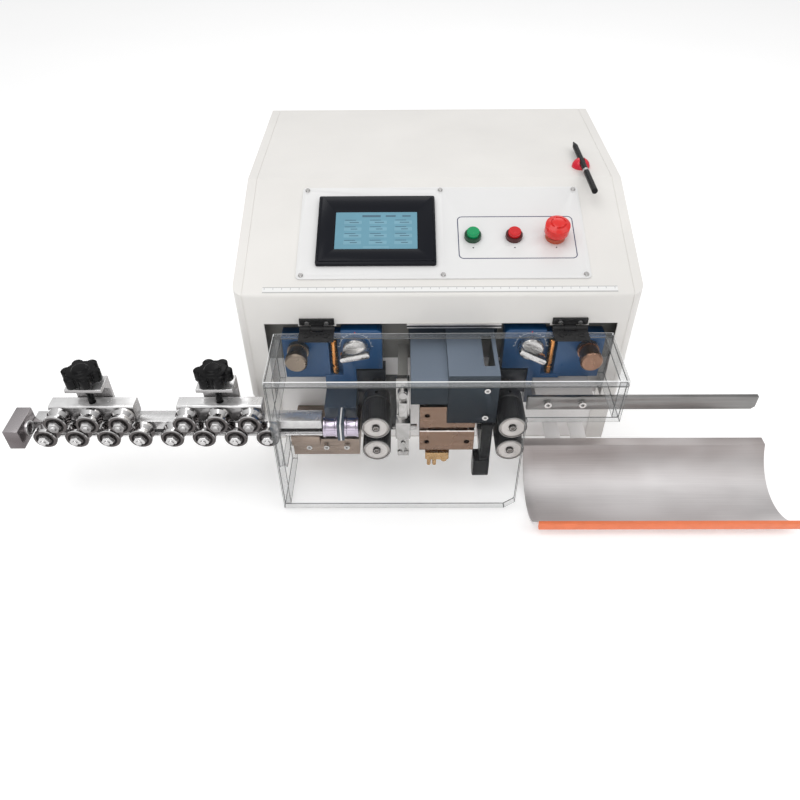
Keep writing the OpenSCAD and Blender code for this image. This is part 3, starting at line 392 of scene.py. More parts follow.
def rounded_rect(cx, cy, w, h, r, steps=6):
    """Outline of a rectangle with round corners, counter-clockwise."""
    x = w / 2 - r
    y = h / 2 - r
    points = []
    for sx, sy, start in ((1, -1, -90), (1, 1, 0), (-1, 1, 90), (-1, -1, 180)):
        points += arc(cx + sx * x, cy + sy * y, r, start, start + 90, steps)
    return points


def ring_prism(bm, outer, inner, place, low, high):
    """Adds a flat closed band between two outlines with the same number of points."""
    loops = []
    for outline, level in ((outer, low), (outer, high), (inner, high), (inner, low)):
        loops.append([bm.verts.new(place(a, b, level)) for a, b in outline])
    n = len(outer)
    for k in range(4):
        first = loops[k]
        second = loops[(k + 1) % 4]
        for i in range(n):
            j = (i + 1) % n
            bm.faces.new((first[i], first[j], second[j], second[i]))


# Edge rounding of the rigid pieces, in millimetres
SOFT_EDGES = {
    "control_panel": 0.3, "touch_screen": 0.8, "roller_housings": 0.6, "infeed_carrier": 0.5,
    "outfeed_carrier": 0.5, "head_cover": 0.7, "upper_blade_block": 0.4, "lower_blade_block": 0.4,
    "infeed_guides": 0.4, "outfeed_guide": 0.6, "lower_rail": 0.5, "support_bar": 0.4,
    "straightener_rail": 0.5, "straightener_fittings": 0.5, "carriage_a": 0.6, "carriage_b": 0.6,
    "star_knob_a": 0.9, "star_knob_b": 0.9, "infeed_dial": 0.5, "outfeed_dial": 0.5,
    "emergency_stop": 0.5, "hinge_fixed_leaves": 0.3, "hinge_moving_leaves": 0.3,
    "tray_edge_strip": 0.4, "wire_tray": 0.25, "mechanism_plate": 0.5,
}

# Heights, in metres, of a dark line of painted shade along the straightener rail, then materials
# of pieces that have one finish all over
RAIL_SLOT_SHADE = (0.0930, 0.0988)
house_paint = paint("house_paint", (0.79, 0.771, 0.742), 0.36, 0.12)
plate_paint = paint("plate_paint", (0.785, 0.782, 0.778), 0.33, 0.06, 0.015)
rubber_black = plastic("rubber_black", (0.018, 0.018, 0.018), 0.65, 0.25)
bezel_black = plastic("bezel_black", (0.006, 0.007, 0.011), 0.24, 0.006, 0.03, 0.015)
satin_black = plastic("satin_black", (0.012, 0.012, 0.013), 0.34, 0.10)
hinge_black = plastic("hinge_black", (0.026, 0.026, 0.027), 0.30, 0.06)
gloss_red = plastic("gloss_red", (0.70, 0.012, 0.035), 0.20, 0.05)
gloss_green = plastic("gloss_green", (0.0, 0.30, 0.10), 0.22, 0.05)
stop_red = plastic("stop_red", (0.62, 0.012, 0.016), 0.22, 0.05)
mushroom_red = plastic("mushroom_red", (0.74, 0.022, 0.018), 0.18, 0.04)
steel = cast("steel", (0.62, 0.61, 0.60), 0.26)
carrier_dark = paint("carrier_dark", (0.010, 0.014, 0.022), 0.36, 0.06, 0.10)
rail_steel = brushed("rail_steel", (0.30, 0.24, 0.20), 0.34, (0.03, 1.0, 1.0), 0.16)
bar_steel = brushed("bar_steel", (0.25, 0.245, 0.24), 0.36, (0.02, 1.0, 1.0), 0.14)
# Painted reflection on these metals: bright tops, dark walls.
milled = painted_reflection_metal("milled", (0.96, 0.955, 0.955), (0.27, 0.26, 0.26), 0.24, 0.62)
rail_alu = painted_reflection_metal("rail_alu", (0.93, 0.925, 0.925), (0.60, 0.59, 0.59), 0.24, 0.78, RAIL_SLOT_SHADE)
roller_steel = painted_reflection_metal("roller_steel", (0.86, 0.85, 0.85), (0.105, 0.095, 0.094), 0.13)
strip_orange = plastic("strip_orange", (0.86, 0.212, 0.084), 0.42, 0.10)
knob_black = plastic("knob_black", (0.005, 0.005, 0.0055), 0.24, 0.05)
motor_black = paint("motor_black", (0.03, 0.03, 0.032), 0.45)

assign(house_paint, "base_chassis", "top_cover", "side_panels")
assign(plate_paint, "control_panel")
assign(rubber_black, "feet")
assign(bezel_black, "touch_screen")
assign(satin_black, "power_inlet", "outfeed_guide")
assign(hinge_black, "hinge_fixed_leaves", "hinge_moving_leaves")
assign(gloss_red, "pen_holder")
assign(gloss_green, "start_button")
assign(stop_red, "stop_button")
assign(mushroom_red, "emergency_stop")
assign(steel, "infeed_dial", "outfeed_dial")
assign(carrier_dark, "infeed_carrier", "outfeed_carrier")
assign(rail_steel, "lower_rail")
assign(bar_steel, "support_bar")
assign(milled, "carriage_a", "carriage_b")
assign(rail_alu, "straightener_rail")
assign(strip_orange, "tray_edge_strip")
assign(knob_black, "star_knob_a", "star_knob_b")
assign(motor_black, "drive_motors")
for i in range(1, 9):
    assign(roller_steel, f"low_roller_{i}")
for i in range(1, 7):
    assign(roller_steel, f"up_roller_{i}")


ACRYLIC_IOR = 1.49
HAZE = 14.0
WAVE, WAVE_DEPTH = 9.0, 0.002
TOP_GLINT_Z = (0.2135, 0.2145)


def clear_sheet(name, straight, glancing, rough, colour):
    """Clear acrylic that shows more of itself at a glancing angle."""
    s = Shader(name, rough)
    s.colour(colour)
    facing = s.node("ShaderNodeLayerWeight")
    facing.inputs["Blend"].default_value = 0.35
    haze = s.remap(s.noise(HAZE, 3.0), 0.9, 1.1)
    shown = s.remap(facing.outputs["Facing"], straight, glancing, 0.0, 1.0)
    s.link(s.math("MULTIPLY", shown, haze, clamp=True), s.bsdf.inputs["Alpha"])
    s.bump(s.noise(WAVE, 1.0), 0.05, WAVE_DEPTH)
    s.set(IOR=ACRYLIC_IOR)
    return s.mat


acrylic = clear_sheet("acrylic", 0.003, 0.055, 0.06, (0.36, 0.38, 0.39))
acrylic_side = clear_sheet("acrylic_side", 0.20, 0.46, 0.10, (0.40, 0.41, 0.415))


def arris_finish():
    """Corner lines of the acrylic: a painted highlight round the top face, dark elsewhere."""
    s = Shader("acrylic_edge", 0.16)
    # Painted highlight on the corner lines at the height of the top face.
    top_glint = s.remap(s.axis("Z"), 0.0, 1.0, *TOP_GLINT_Z)
    s.colour(s.mix(top_glint, (0.13, 0.135, 0.135), (0.92, 0.93, 0.93)))
    s.link(s.remap(s.noise(HAZE, 3.0), 0.86, 0.98), s.bsdf.inputs["Alpha"])
    s.bump(s.noise(WAVE, 1.0), 0.05, WAVE_DEPTH)
    s.set(IOR=ACRYLIC_IOR)
    return s.mat


acrylic_edge = arris_finish()

# Clear safety cover, made of four glued sheets
COVER_T = 8.0
COVER_L, COVER_R = -192.0, 206.0
COVER_F, COVER_B = -97.0, -9.0
COVER_LOW, COVER_TOP = 6.0, 218.0
COVER_SIDE_LOW = 157.0
COVER_CUT_X = 101.0
CORNER_CUT = (13, 11)
NOTCH_Y, NOTCH_R = -70.0, 14.0
NOTCH_LOW, NOTCH_HIGH = 62.0, 150.0
GLUE = 0.06
COVER_BEVEL = 0.8


def cover_sheet(name, outline, place, low, high):
    """One sheet of the cover, with sides and corner lines of their own."""
    bm = bmesh.new()
    prism(bm, outline, place, low, high, side_index=1)
    bevel_all(bm, COVER_BEVEL * MM, material=2)
    mesh = finish_mesh(bm, name)
    obj = new_piece(name, mesh, (acrylic, acrylic_side, acrylic_edge), "cover")
    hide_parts("safety_cover")


under_top = COVER_TOP - COVER_T - GLUE
behind_front = COVER_F + COVER_T + GLUE
top_outline = [(COVER_L, COVER_F), (COVER_R, COVER_F), (COVER_R, COVER_B), (COVER_L, COVER_B)]
cover_sheet("cover_top", top_outline, mm, COVER_TOP - COVER_T, COVER_TOP)
front_outline = [(COVER_L, COVER_LOW), (COVER_CUT_X - CORNER_CUT[0], COVER_LOW)]
front_outline += [(COVER_CUT_X, COVER_LOW + CORNER_CUT[1]), (COVER_CUT_X, COVER_SIDE_LOW)]
front_outline += [(COVER_R, COVER_SIDE_LOW), (COVER_R, under_top), (COVER_L, under_top)]
cover_sheet("cover_front", front_outline, lambda a, b, h: mm(a, h, b), COVER_F, COVER_F + COVER_T)
left_outline = [(behind_front, COVER_LOW), (COVER_B, COVER_LOW), (COVER_B, NOTCH_LOW)]
left_outline += arc(NOTCH_Y, NOTCH_LOW + NOTCH_R, NOTCH_R, -90, -180, 6)
left_outline += arc(NOTCH_Y, NOTCH_HIGH - NOTCH_R, NOTCH_R, 180, 90, 6)
left_outline += [(COVER_B, NOTCH_HIGH), (COVER_B, under_top), (behind_front, under_top)]
cover_sheet("cover_left", left_outline, lambda a, b, h: mm(h, a, b), COVER_L, COVER_L + COVER_T)
right_outline = [(behind_front, COVER_SIDE_LOW), (COVER_B, COVER_SIDE_LOW)]
right_outline += [(COVER_B, under_top), (behind_front, under_top)]
cover_sheet("cover_right", right_outline, lambda a, b, h: mm(h, a, b), COVER_R - COVER_T, COVER_R)

# Display behind the bezel, with plain fields and no lettering
DISPLAY_W, DISPLAY_H = 97.4, 57.4
DISPLAY_DROP = 4.0
DISPLAY_LOW = 8.02
GLASS_H = 8.45
FIELD_H = 8.50
LABEL_H = 8.54
FIELD_COLUMNS, FIELD_ROWS = 3, 4
FIELD_PITCH_X, FIELD_PITCH_U = 30.0, 10.5
FIELD_TOP = 12.5
FIELD_SIZE = (21.0, 5.4)
FIELD_CORNER = 0.8
NAME_SIZE = (13.0, 0.9)
VALUE_LONG, VALUE_CUT, VALUE_TALL = 11.0, 3.0, 1.1
HEADINGS = ((-6.0, 22.5, 22.0, 3.2), (17.0, 22.5, 12.0, 2.4), (36.0, 22.5, 10.0, 2.0))
FOOTING = (0.0, -26.0, 30.0, 2.6)


def screen_glow(name, colour, glow, rough=0.12):
    """Lit glass with the faint unevenness of a back light."""
    s = Shader(name, rough)
    tone = s.remap(s.noise(30.0, 2.0), 0.0, 1.0)
    s.colour(s.mix(tone, shade(colour, 0.94), shade(colour, 1.04)))
    s.link(s.mix(tone, shade(colour, 0.90), shade(colour, 1.05)), s.bsdf.inputs["Emission Color"])
    s.set(Emission_Strength=glow)
    s.bump(s.noise(4000.0, 1.0), 0.02, HAIR)
    return s.mat


screen_blue = screen_glow("screen_blue", (0.135, 0.31, 0.40), 0.05)
screen_field = screen_glow("screen_field", (0.175, 0.36, 0.45), 0.05)
screen_mark = screen_glow("screen_mark", (0.07, 0.14, 0.19), 0.05)


def slope_plate(name, outlines, low, high, material, cx=0.0, cu=0.0):
    """Thin plates lying on the control slope, as one piece of the frame."""
    bm = bmesh.new()
    for outline in outlines:
        prism(bm, outline, lambda a, b, h: on_slope(cx + a, cu + b, h), low, high)
    return new_piece(name, finish_mesh(bm, name), (material,), "frame")


def rect(cx, cy, w, h):
    """Outline of a plain rectangle."""
    x = w / 2
    y = h / 2
    return [(cx - x, cy - y), (cx + x, cy - y), (cx + x, cy + y), (cx - x, cy + y)]


display_u = HMI_U - DISPLAY_DROP
glass = rounded_rect(0, 0, DISPLAY_W, DISPLAY_H, FIELD_CORNER, 3)
slope_plate("display_glass", [glass], DISPLAY_LOW, GLASS_H, screen_blue,
            HMI_X, display_u)
fields = []
labels = [rect(*heading) for heading in HEADINGS]
for column in range(FIELD_COLUMNS):
    for row in range(FIELD_ROWS):
        field_x = (column - 1) * FIELD_PITCH_X
        field_y = FIELD_TOP - row * FIELD_PITCH_U
        fields.append(rounded_rect(field_x + 2.0, field_y, *FIELD_SIZE, FIELD_CORNER, 2))
        labels.append(rect(field_x - 1.0, field_y + 3.6, *NAME_SIZE))
        labels.append(rect(field_x + 3.5, field_y, VALUE_LONG - row % 2 * VALUE_CUT, VALUE_TALL))
fields.append(rect(*FOOTING))
slope_plate("display_fields", fields, GLASS_H, FIELD_H, screen_field,
            HMI_X, display_u)
slope_plate("display_marks", labels, FIELD_H, LABEL_H, screen_mark,
            HMI_X, display_u)

# Printed border round the buttons and three plain dots
BORDER_X, BORDER_U = 95.5, 83.75
BORDER_W, BORDER_H = 139.0, 66.0
BORDER_R, BORDER_LINE = 6.0, 1.1
INK_H = PLATE_T + 0.07
DOT_U, DOT_R = 67.5, 0.9
ink_navy = plastic("ink_navy", (0.012, 0.016, 0.085), 0.45, 0.03)
ink_dark = plastic("ink_dark", (0.03, 0.03, 0.035), 0.5, 0.03)

bm = bmesh.new()
ring_prism(bm, rounded_rect(BORDER_X, BORDER_U, BORDER_W, BORDER_H, BORDER_R, 8),
           rounded_rect(BORDER_X, BORDER_U, BORDER_W - 2 * BORDER_LINE, BORDER_H - 2 * BORDER_LINE,
                        BORDER_R - BORDER_LINE, 8),
           on_slope, PLATE_T, INK_H)
new_piece("button_border", finish_mesh(bm, "button_border"), (ink_navy,), "frame")
dots = [arc(BTN_X + k * BTN_PITCH, DOT_U, DOT_R, 0, 337.5, 15) for k in (-1, 0, 1)]
slope_plate("button_dots", dots, PLATE_T, INK_H, ink_dark)

# Silver trim under the fascia, over the hood
TRIM_X = (-35.0, 76.0)
TRIM_FRONT, TRIM_BACK = -1.6, -0.05
TRIM_RECESS = 0.4
TRIM_BANDS = ((219.2, 220.8), (223.2, 225.0))
TRIM_DARK = (220.8, 223.2)


def trim_band(name, low, high, front, material):
    """Thin band along the lower edge of the fascia."""
    bm = bmesh.new()
    prism(bm, [(TRIM_X[0], low), (TRIM_X[1], low), (TRIM_X[1], high), (TRIM_X[0], high)],
          lambda a, b, h: mm(a, h, b), front, TRIM_BACK)
    new_piece(name, finish_mesh(bm, name), (material,), "frame")


trim_silver = brushed("trim_silver", (0.72, 0.70, 0.69), 0.34, (0.03, 1.0, 1.0), 0.05)
for k, (low, high) in enumerate(TRIM_BANDS):
    trim_band(f"fascia_trim_{k}", low, high, TRIM_FRONT, trim_silver)
trim_band("fascia_trim_gap", *TRIM_DARK, TRIM_FRONT + TRIM_RECESS, ink_dark)

# Scale rings printed round the gap dials
ink_white = plastic("ink_white", (0.70, 0.74, 0.78), 0.5, 0.03)
ink_red = plastic("ink_red", (0.65, 0.02, 0.02), 0.5, 0.03)
SCALE_R = 18.6
SCALE_LINE = 0.35
SCALE_FACE = BLUE_Y - 0.06
SCALE_TICKS = 13
SCALE_STEP = 15.0
TICK_FROM = SCALE_R + 0.5
TICK_LONG, TICK_SHORT = 2.6, 1.7
MARK_LONG, MARK_HALF = 3.0, 0.55


def spoke(bm, place, angle, r0, r1, half):
    """Short radial tick."""
    a = math.radians(angle)
    along = (math.cos(a), math.sin(a))
    across = (-math.sin(a) * half, math.cos(a) * half)
    corners = []
    for r, s in ((r0, -1), (r1, -1), (r1, 1), (r0, 1)):
        corners.append((along[0] * r + across[0] * s, along[1] * r + across[1] * s))
    prism(bm, corners, place, BLUE_Y, SCALE_FACE)


def dial_scale(side, x):
    """Arc with ticks on the face of a roller housing, and one red tick at the top."""
    def place(a, b, h):
        return mm(x + a, h, DIAL_Z + b)

    bm = bmesh.new()
    outer = arc(0, 0, SCALE_R + SCALE_LINE, 0, 180, 40)
    inner = arc(0, 0, SCALE_R, 180, 0, 40)
    prism(bm, outer + inner, place, BLUE_Y, SCALE_FACE)
    for k in range(SCALE_TICKS):
        if k == SCALE_TICKS // 2:
            continue
        reach = TICK_LONG if k % 3 == 0 else TICK_SHORT
        spoke(bm, place, k * SCALE_STEP, TICK_FROM, SCALE_R + reach, SCALE_LINE)
    new_piece(f"{side}_dial_scale", finish_mesh(bm, "scale"), (ink_white,), "frame")
    bm = bmesh.new()
    spoke(bm, place, 90.0, TICK_FROM, SCALE_R + MARK_LONG, MARK_HALF)
    new_piece(f"{side}_dial_mark", finish_mesh(bm, "mark"), (ink_red,), "frame")


dial_scale("infeed", MECH_X - DIAL_X)
dial_scale("outfeed", MECH_X + DIAL_X)


def lathe_y(bm, profile, x, z, steps=48):
    """Adds a closed ring about an axis along Y; profile holds radius and Y in millimetres."""
    loops = []
    for i in range(steps):
        a = 2 * math.pi * i / steps
        points = [mm(x + r * math.cos(a), y, z + r * math.sin(a)) for r, y in profile]
        loops.append([bm.verts.new(point) for point in points])
    n = len(profile)
    for i in range(steps):
        first = loops[i]
        second = loops[(i + 1) % steps]
        for k in range(n):
            j = (k + 1) % n
            bm.faces.new((first[k], first[j], second[j], second[k]))


# Bearing shields in the faces of the straightening rollers, near black as painted shade of the
# gaps round them
shield_shade = cast("shield_shade", (0.016, 0.015, 0.015), 0.38)
SHIELD = [(7.75, STR_FRONT + 1.15), (7.75, STR_FRONT + 0.55), (8.3, STR_FRONT + 0.35),
          (9.7, STR_FRONT + 0.35), (10.25, STR_FRONT + 0.55), (10.25, STR_FRONT + 1.15)]


def roller_places():
    """Name of each straightening roller's body and the middle of its face."""
    low_z = WIRE_Z - STR_RISE / 2
    high_z = WIRE_Z + STR_RISE / 2
    for i in range(1, 9):
        yield f"low_{i}", STR_LOW_X - (8 - i) * STR_PITCH, low_z
    for i in range(1, 7):
        unit = STR_LOW_X - (5.5 if i <= 3 else 1.5) * STR_PITCH
        yield f"up_{i}", unit + ((i - 1) % 3 - 1) * STR_PITCH, high_z


for body, x, z in roller_places():
    bm = bmesh.new()
    lathe_y(bm, SHIELD, x, z)
    new_piece(f"shield_{body}", finish_mesh(bm, "shield"), (shield_shade,), body)


# Radii on the feed rollers, in metres, and depths behind their faces, in millimetres
HUB_R = (0.01465, 0.01475)
RIM_IN, RIM_OUT = (0.01535, 0.01545), (0.01585, 0.01595)
RING_IN, RING_OUT = (0.0030, 0.0032), (0.0046, 0.0050)
HUB_DEPTH = (2.6, 2.8)
FACE_DEPTH = (0.4, 0.6)
FACE_MARKS = 9000.0


def before_depth(s, depth):
    """1 in front of a depth behind the faces of the feed rollers."""
    return s.remap(s.axis("Y"), 1.0, 0.0, *frame_y(*(ROLL_FRONT + d for d in depth)))


def feed_roller_finish(name, x, z):
    """Black knurled tyre on a bright turned hub."""
    s = Shader(name)
    centre = mm(x, 0.0, z)
    radius = s.radius("X", "Z", (centre.x, centre.z))
    hub = s.math("MULTIPLY", s.remap(radius, 1.0, 0.0, *HUB_R), before_depth(s, HUB_DEPTH))
    rim = s.math("MULTIPLY", s.remap(radius, 0.0, 1.0, *RIM_IN),
                 s.remap(radius, 1.0, 0.0, *RIM_OUT))
    face = before_depth(s, FACE_DEPTH)
    bright = s.math("MAXIMUM", hub, s.math("MULTIPLY", rim, face))
    turned = s.math("SINE", s.math("MULTIPLY", radius, FACE_MARKS))
    silver = s.mix(s.remap(turned, 0.0, 1.0, -1.0, 1.0), (0.47, 0.445, 0.43), (0.63, 0.60, 0.58))
    tyre = s.mix(s.remap(s.noise(240.0), 0.0, 1.0), (0.009, 0.009, 0.010), (0.022, 0.022, 0.023))
    ring = s.math("MULTIPLY", s.remap(radius, 0.0, 1.0, *RING_IN),
                  s.remap(radius, 1.0, 0.0, *RING_OUT))
    face_silver = s.mix(ring, silver, (0.07, 0.065, 0.062))
    s.colour(s.mix(bright, tyre, face_silver))
    s.link(s.math("MULTIPLY", bright, 0.92), s.bsdf.inputs["Metallic"])
    s.rough(s.remap(bright, 0.42, 0.30, 0.0, 1.0))
    s.bump(s.noise(1500.0, 2.0), 0.12, GRAIN)
    s.bump(s.math("MULTIPLY", turned, bright), 0.12, HAIR)
    return s.mat


for side, hand in (("infeed", -1), ("outfeed", 1)):
    for level, lift in (("upper", 0.5), ("lower", -0.5)):
        x = MECH_X + hand * PAIR_X
        z = WIRE_Z + lift * ROLL_PITCH
        assign(feed_roller_finish(f"{side}_{level}_finish", x, z), f"{side}_{level}_roller")


# Ticks and lines of the scale strip; places up the slope and across are in millimetres
STRIP_FIRST = -198.0
STRIP_STEP = 0.010
STRIP_TICK = (0.035, 0.045)
STRIP_FOOT = (7.6, 7.9)
STRIP_LINES = ((3.3, 4.4), (10.4, 11.5))


def scale_finish():
    """White strip with a tick every ten millimetres."""
    s = Shader("scale_finish", 0.3)
    steps = s.math("DIVIDE", s.math("SUBTRACT", s.axis("X"), *frame_x(STRIP_FIRST)), STRIP_STEP)
    near = s.math("ABSOLUTE", s.math("SUBTRACT", s.math("FRACT", s.math("ADD", steps, 0.5)), 0.5))
    tick = s.remap(near, 1.0, 0.0, *STRIP_TICK)
    upper = s.remap(s.axis("Y"), 0.0, 1.0, *slope_y(*STRIP_FOOT))
    mark = s.math("MULTIPLY", tick, upper, clamp=True)
    low_line, high_line = (s.within("Y", *slope_y(*line)) for line in STRIP_LINES)
    lined = s.math("MAXIMUM", low_line, high_line)
    ruled = s.mix(lined, (0.84, 0.84, 0.83), (0.44, 0.435, 0.43))
    s.colour(s.mix(mark, ruled, (0.52, 0.52, 0.53)))
    s.bump(s.noise(600.0), 0.04, GRAIN)
    return s.mat


assign(scale_finish(), "scale_strip")


COLLAR_BLEND = 0.001


def collar_finish():
    """Dark green, dark red and amber collars, told apart by their place."""
    s = Shader("collar_finish", 0.3)
    x = s.axis("X")
    left, right = frame_x(BTN_X - BTN_PITCH / 2, BTN_X + BTN_PITCH / 2)
    first = s.remap(x, 0.0, 1.0, left - COLLAR_BLEND, left + COLLAR_BLEND)
    second = s.remap(x, 0.0, 1.0, right - COLLAR_BLEND, right + COLLAR_BLEND)
    pair = s.mix(first, (0.004, 0.055, 0.022), (0.075, 0.006, 0.007))
    s.colour(s.mix(second, pair, (0.48, 0.075, 0.028)))
    s.rough(s.remap(s.noise(200.0), 0.22, 0.36))
    s.bump(s.noise(1600.0), 0.05, GRAIN)
    return s.mat


assign(collar_finish(), "button_collars")


PEN_RING_Y = (171.9, 177.1)


def pen_finish():
    """Black barrel with a bright ring."""
    s = Shader("pen_finish", 0.3)
    ring = s.within("Y", *frame_y(*PEN_RING_Y))
    s.colour(s.mix(ring, (0.010, 0.010, 0.011), (0.66, 0.66, 0.66)))
    s.link(ring, s.bsdf.inputs["Metallic"])
    s.set(Specular_IOR_Level=0.14)
    s.rough(s.remap(s.noise(300.0), 0.22, 0.36))
    s.bump(s.noise(1800.0), 0.05, GRAIN)
    return s.mat


assign(pen_finish(), "stylus_pen")


HOOD_SHADE_Z = (0.125, 0.195)


def hood_finish():
    """Slate paint with painted shade: walls darker than the top, and the front darker towards its
    foot.
    """
    s = Shader("hood_finish")
    tone = s.remap(s.noise(BLOTCH, 4.0), 0.0, 1.0)
    # Painted shade: walls darkened against the top by which way the surface faces, and the front
    # darkened low down.
    upward = s.remap(s.upness(), 0.0, 1.0, 0.05, 0.9)
    height = s.remap(s.axis("Z"), 0.0, 1.0, *HOOD_SHADE_Z)
    front = s.mix(height, (0.010, 0.013, 0.018), (0.028, 0.038, 0.049))
    top = s.mix(tone, (0.142, 0.176, 0.226), (0.156, 0.192, 0.244))
    s.colour(s.mix(upward, front, top))
    s.rough(s.remap(s.noise(GLOSS, 4.0), 0.36, 0.46))
    s.bump(s.noise(PEEL, 2.0), 0.06, COAT)
    s.set(Specular_IOR_Level=0.12)
    return s.mat


assign(hood_finish(), "head_cover")


PIN_X = PAIR_X + 95.0
PIN_Z = 184.0
PIN_MARKS = 7000.0


def pin_finish():
    """Turned pins: fine rings on the face, and a painted reflection of warm surroundings that is
    beige on the left one and coppery on the right-hand one.
    """
    s = Shader("pin_finish", metal=1.0)
    tone = s.remap(s.axis("X"), 0.0, 1.0, -0.01, 0.01)
    left = mm(MECH_X - PIN_X, 0, PIN_Z)
    right = mm(MECH_X + PIN_X, 0, PIN_Z)
    radius = s.math("MINIMUM", s.radius("X", "Z", (left.x, left.z)),
                    s.radius("X", "Z", (right.x, right.z)))
    turned = s.math("SINE", s.math("MULTIPLY", radius, PIN_MARKS))
    # Painted reflection: the colour shifts from beige to coppery across the machine.
    s.colour(s.mix(tone, (0.27, 0.22, 0.175), (0.30, 0.175, 0.12)))
    s.rough(s.remap(s.noise(150.0), 0.24, 0.40))
    s.bump(turned, 0.12, HAIR)
    return s.mat


assign(pin_finish(), "pivot_pins")


ROD_FOOT_Z = (0.120, 0.121)


def fitting_finish():
    """Copper pressure rods above, brass nozzle below."""
    s = Shader("fitting_finish", metal=1.0)
    upper = s.remap(s.axis("Z"), 0.0, 1.0, *ROD_FOOT_Z)
    tone = s.remap(s.noise(140.0, 4.0), 0.0, 1.0)
    rods = s.mix(tone, (0.66, 0.27, 0.08), (0.82, 0.38, 0.13))
    nozzle = s.mix(tone, (0.40, 0.25, 0.12), (0.54, 0.35, 0.18))
    s.colour(s.mix(upper, nozzle, rods))
    s.rough(s.remap(s.noise(260.0), 0.18, 0.34))
    s.bump(s.noise(TOOTH), 0.05, GRAIN)
    return s.mat


assign(fitting_finish(), "brass_fittings")


ARM_TOP_Z = (0.1275, 0.1285)
ARM_FRONT_Y = (-38.0, -37.0)
LIP_X = (-116.2, -114.4)


def housing_finish():
    """Blue roller housings with a slate guide arm below them."""
    s = Shader("housing_finish")
    lower = s.remap(s.axis("Z"), 1.0, 0.0, *ARM_TOP_Z)
    tone = s.remap(s.noise(BLOTCH, 4.0), 0.0, 1.0)
    blue = s.mix(tone, (0.0105, 0.066, 0.176), (0.0135, 0.084, 0.224))
    front = s.remap(s.axis("Y"), 1.0, 0.0, *frame_y(*ARM_FRONT_Y))
    lip = s.math("MULTIPLY", front, s.within("X", *frame_x(*LIP_X)))
    slate = s.mix(lip, (0.046, 0.062, 0.086), (0.80, 0.79, 0.78))
    s.colour(s.mix(lower, blue, slate))
    s.rough(s.remap(s.noise(GLOSS, 4.0), 0.27, 0.39))
    s.bump(s.noise(PEEL, 2.0), 0.06, COAT)
    return s.mat


assign(housing_finish(), "roller_housings")


BLOCK_END_X = (-496.5, -495.5)


def fittings_finish():
    """Bright brackets and a darker end block, with painted reflection: tops painted bright, walls
    painted dark.
    """
    s = Shader("fittings_finish", metal=0.8)
    block = s.remap(s.axis("X"), 1.0, 0.0, *frame_x(*BLOCK_END_X))
    top = s.mix(block, (0.90, 0.895, 0.895), (0.46, 0.43, 0.44))
    front = s.mix(block, (0.40, 0.39, 0.39), (0.15, 0.13, 0.134))
    # Painted reflection: tops bright and walls dark, by which way the surface faces.
    s.colour(s.mix(s.remap(s.upness(), 0.0, 1.0, 0.0, 0.8), front, top))
    s.rough(s.remap(s.noise(SHEEN), 0.22, 0.32))
    s.bump(s.noise(TOOTH), 0.015, GRAIN)
    return s.mat


assign(fittings_finish(), "straightener_fittings")


TRAY_REAR_Y = (-58.0, -28.0)


def tray_finish():
    """Dull steel sheet, rolled along its length, with painted glints, and darker towards the rear
    rim.
    """
    s = Shader("tray_finish", metal=1.0)
    lines = s.noise(TOOTH, 4.0, (0.015, 1.0, 1.0))
    clouds = s.noise(14.0, 3.0)
    tone = s.remap(s.math("MULTIPLY", s.math("ADD", lines, clouds), 0.5), 0.0, 1.0, 0.38, 0.62)
    middle = s.mix(tone, (0.66, 0.635, 0.635), (0.74, 0.715, 0.715))
    rear = s.mix(tone, (0.46, 0.415, 0.405), (0.53, 0.48, 0.47))
    back = s.remap(s.axis("Y"), 0.0, 1.0, *frame_y(*TRAY_REAR_Y))
    # Painted reflection: noise patches of near white stand for glints.
    glints = s.remap(s.noise(11.0, 2.0, (0.7, 1.0, 1.0)), 0.0, 0.55, 0.46, 0.72)
    s.colour(s.mix(glints, s.mix(back, middle, rear), (0.86, 0.84, 0.84)))
    s.rough(s.remap(clouds, 0.46, 0.60))
    s.bump(lines, 0.05, GRAIN)
    return s.mat


assign(tray_finish(), "wire_tray")


GROUND_EDGE_Z = (0.1086, 0.1106)


def blade_finish():
    """Steel painted brown as a reflection of brown surroundings, with a bright ground edge along
    the top of the lower block.
    """
    s = Shader("blade_finish", metal=1.0)
    lines = s.noise(TOOTH, 4.0, (0.03, 1.0, 1.0))
    ground = s.within("Z", *GROUND_EDGE_Z)
    # Painted reflection: the brown colours stand for steel mirroring brown surroundings.
    body = s.mix(s.remap(lines, 0.0, 1.0), (0.185, 0.120, 0.086), (0.265, 0.175, 0.128))
    s.colour(s.mix(ground, body, (0.86, 0.80, 0.76)))
    s.rough(s.remap(s.noise(28.0), 0.20, 0.34))
    s.bump(lines, 0.08, GRAIN)
    return s.mat


assign(blade_finish(), "upper_blade_block", "lower_blade_block")


BUSH_END_X = (-92.0, -90.0)


def guide_finish():
    """Bright upright, and bushes with the violet cast of hardened steel."""
    s = Shader("guide_finish", metal=1.0)
    bush = s.remap(s.axis("X"), 1.0, 0.0, *frame_x(*BUSH_END_X))
    tone = s.remap(s.noise(MOTTLE, 4.0), 0.0, 1.0)
    plain = s.mix(tone, (0.40, 0.39, 0.38), (0.48, 0.47, 0.46))
    violet = s.mix(tone, (0.50, 0.44, 0.54), (0.60, 0.54, 0.64))
    s.colour(s.mix(bush, plain, violet))
    s.rough(s.remap(s.noise(SHEEN), 0.16, 0.26))
    s.bump(s.noise(TOOTH), 0.012, GRAIN)
    return s.mat


assign(guide_finish(), "infeed_guides")


PLATE_SPLIT_Z = (0.1545, 0.1555)
SHADE_X, SHADE_Z = (-101.0, -47.0), (0.028, 0.127)
OVER_BAR_X, OVER_BAR_Z = (99.0, 101.0), (0.096, 0.098)


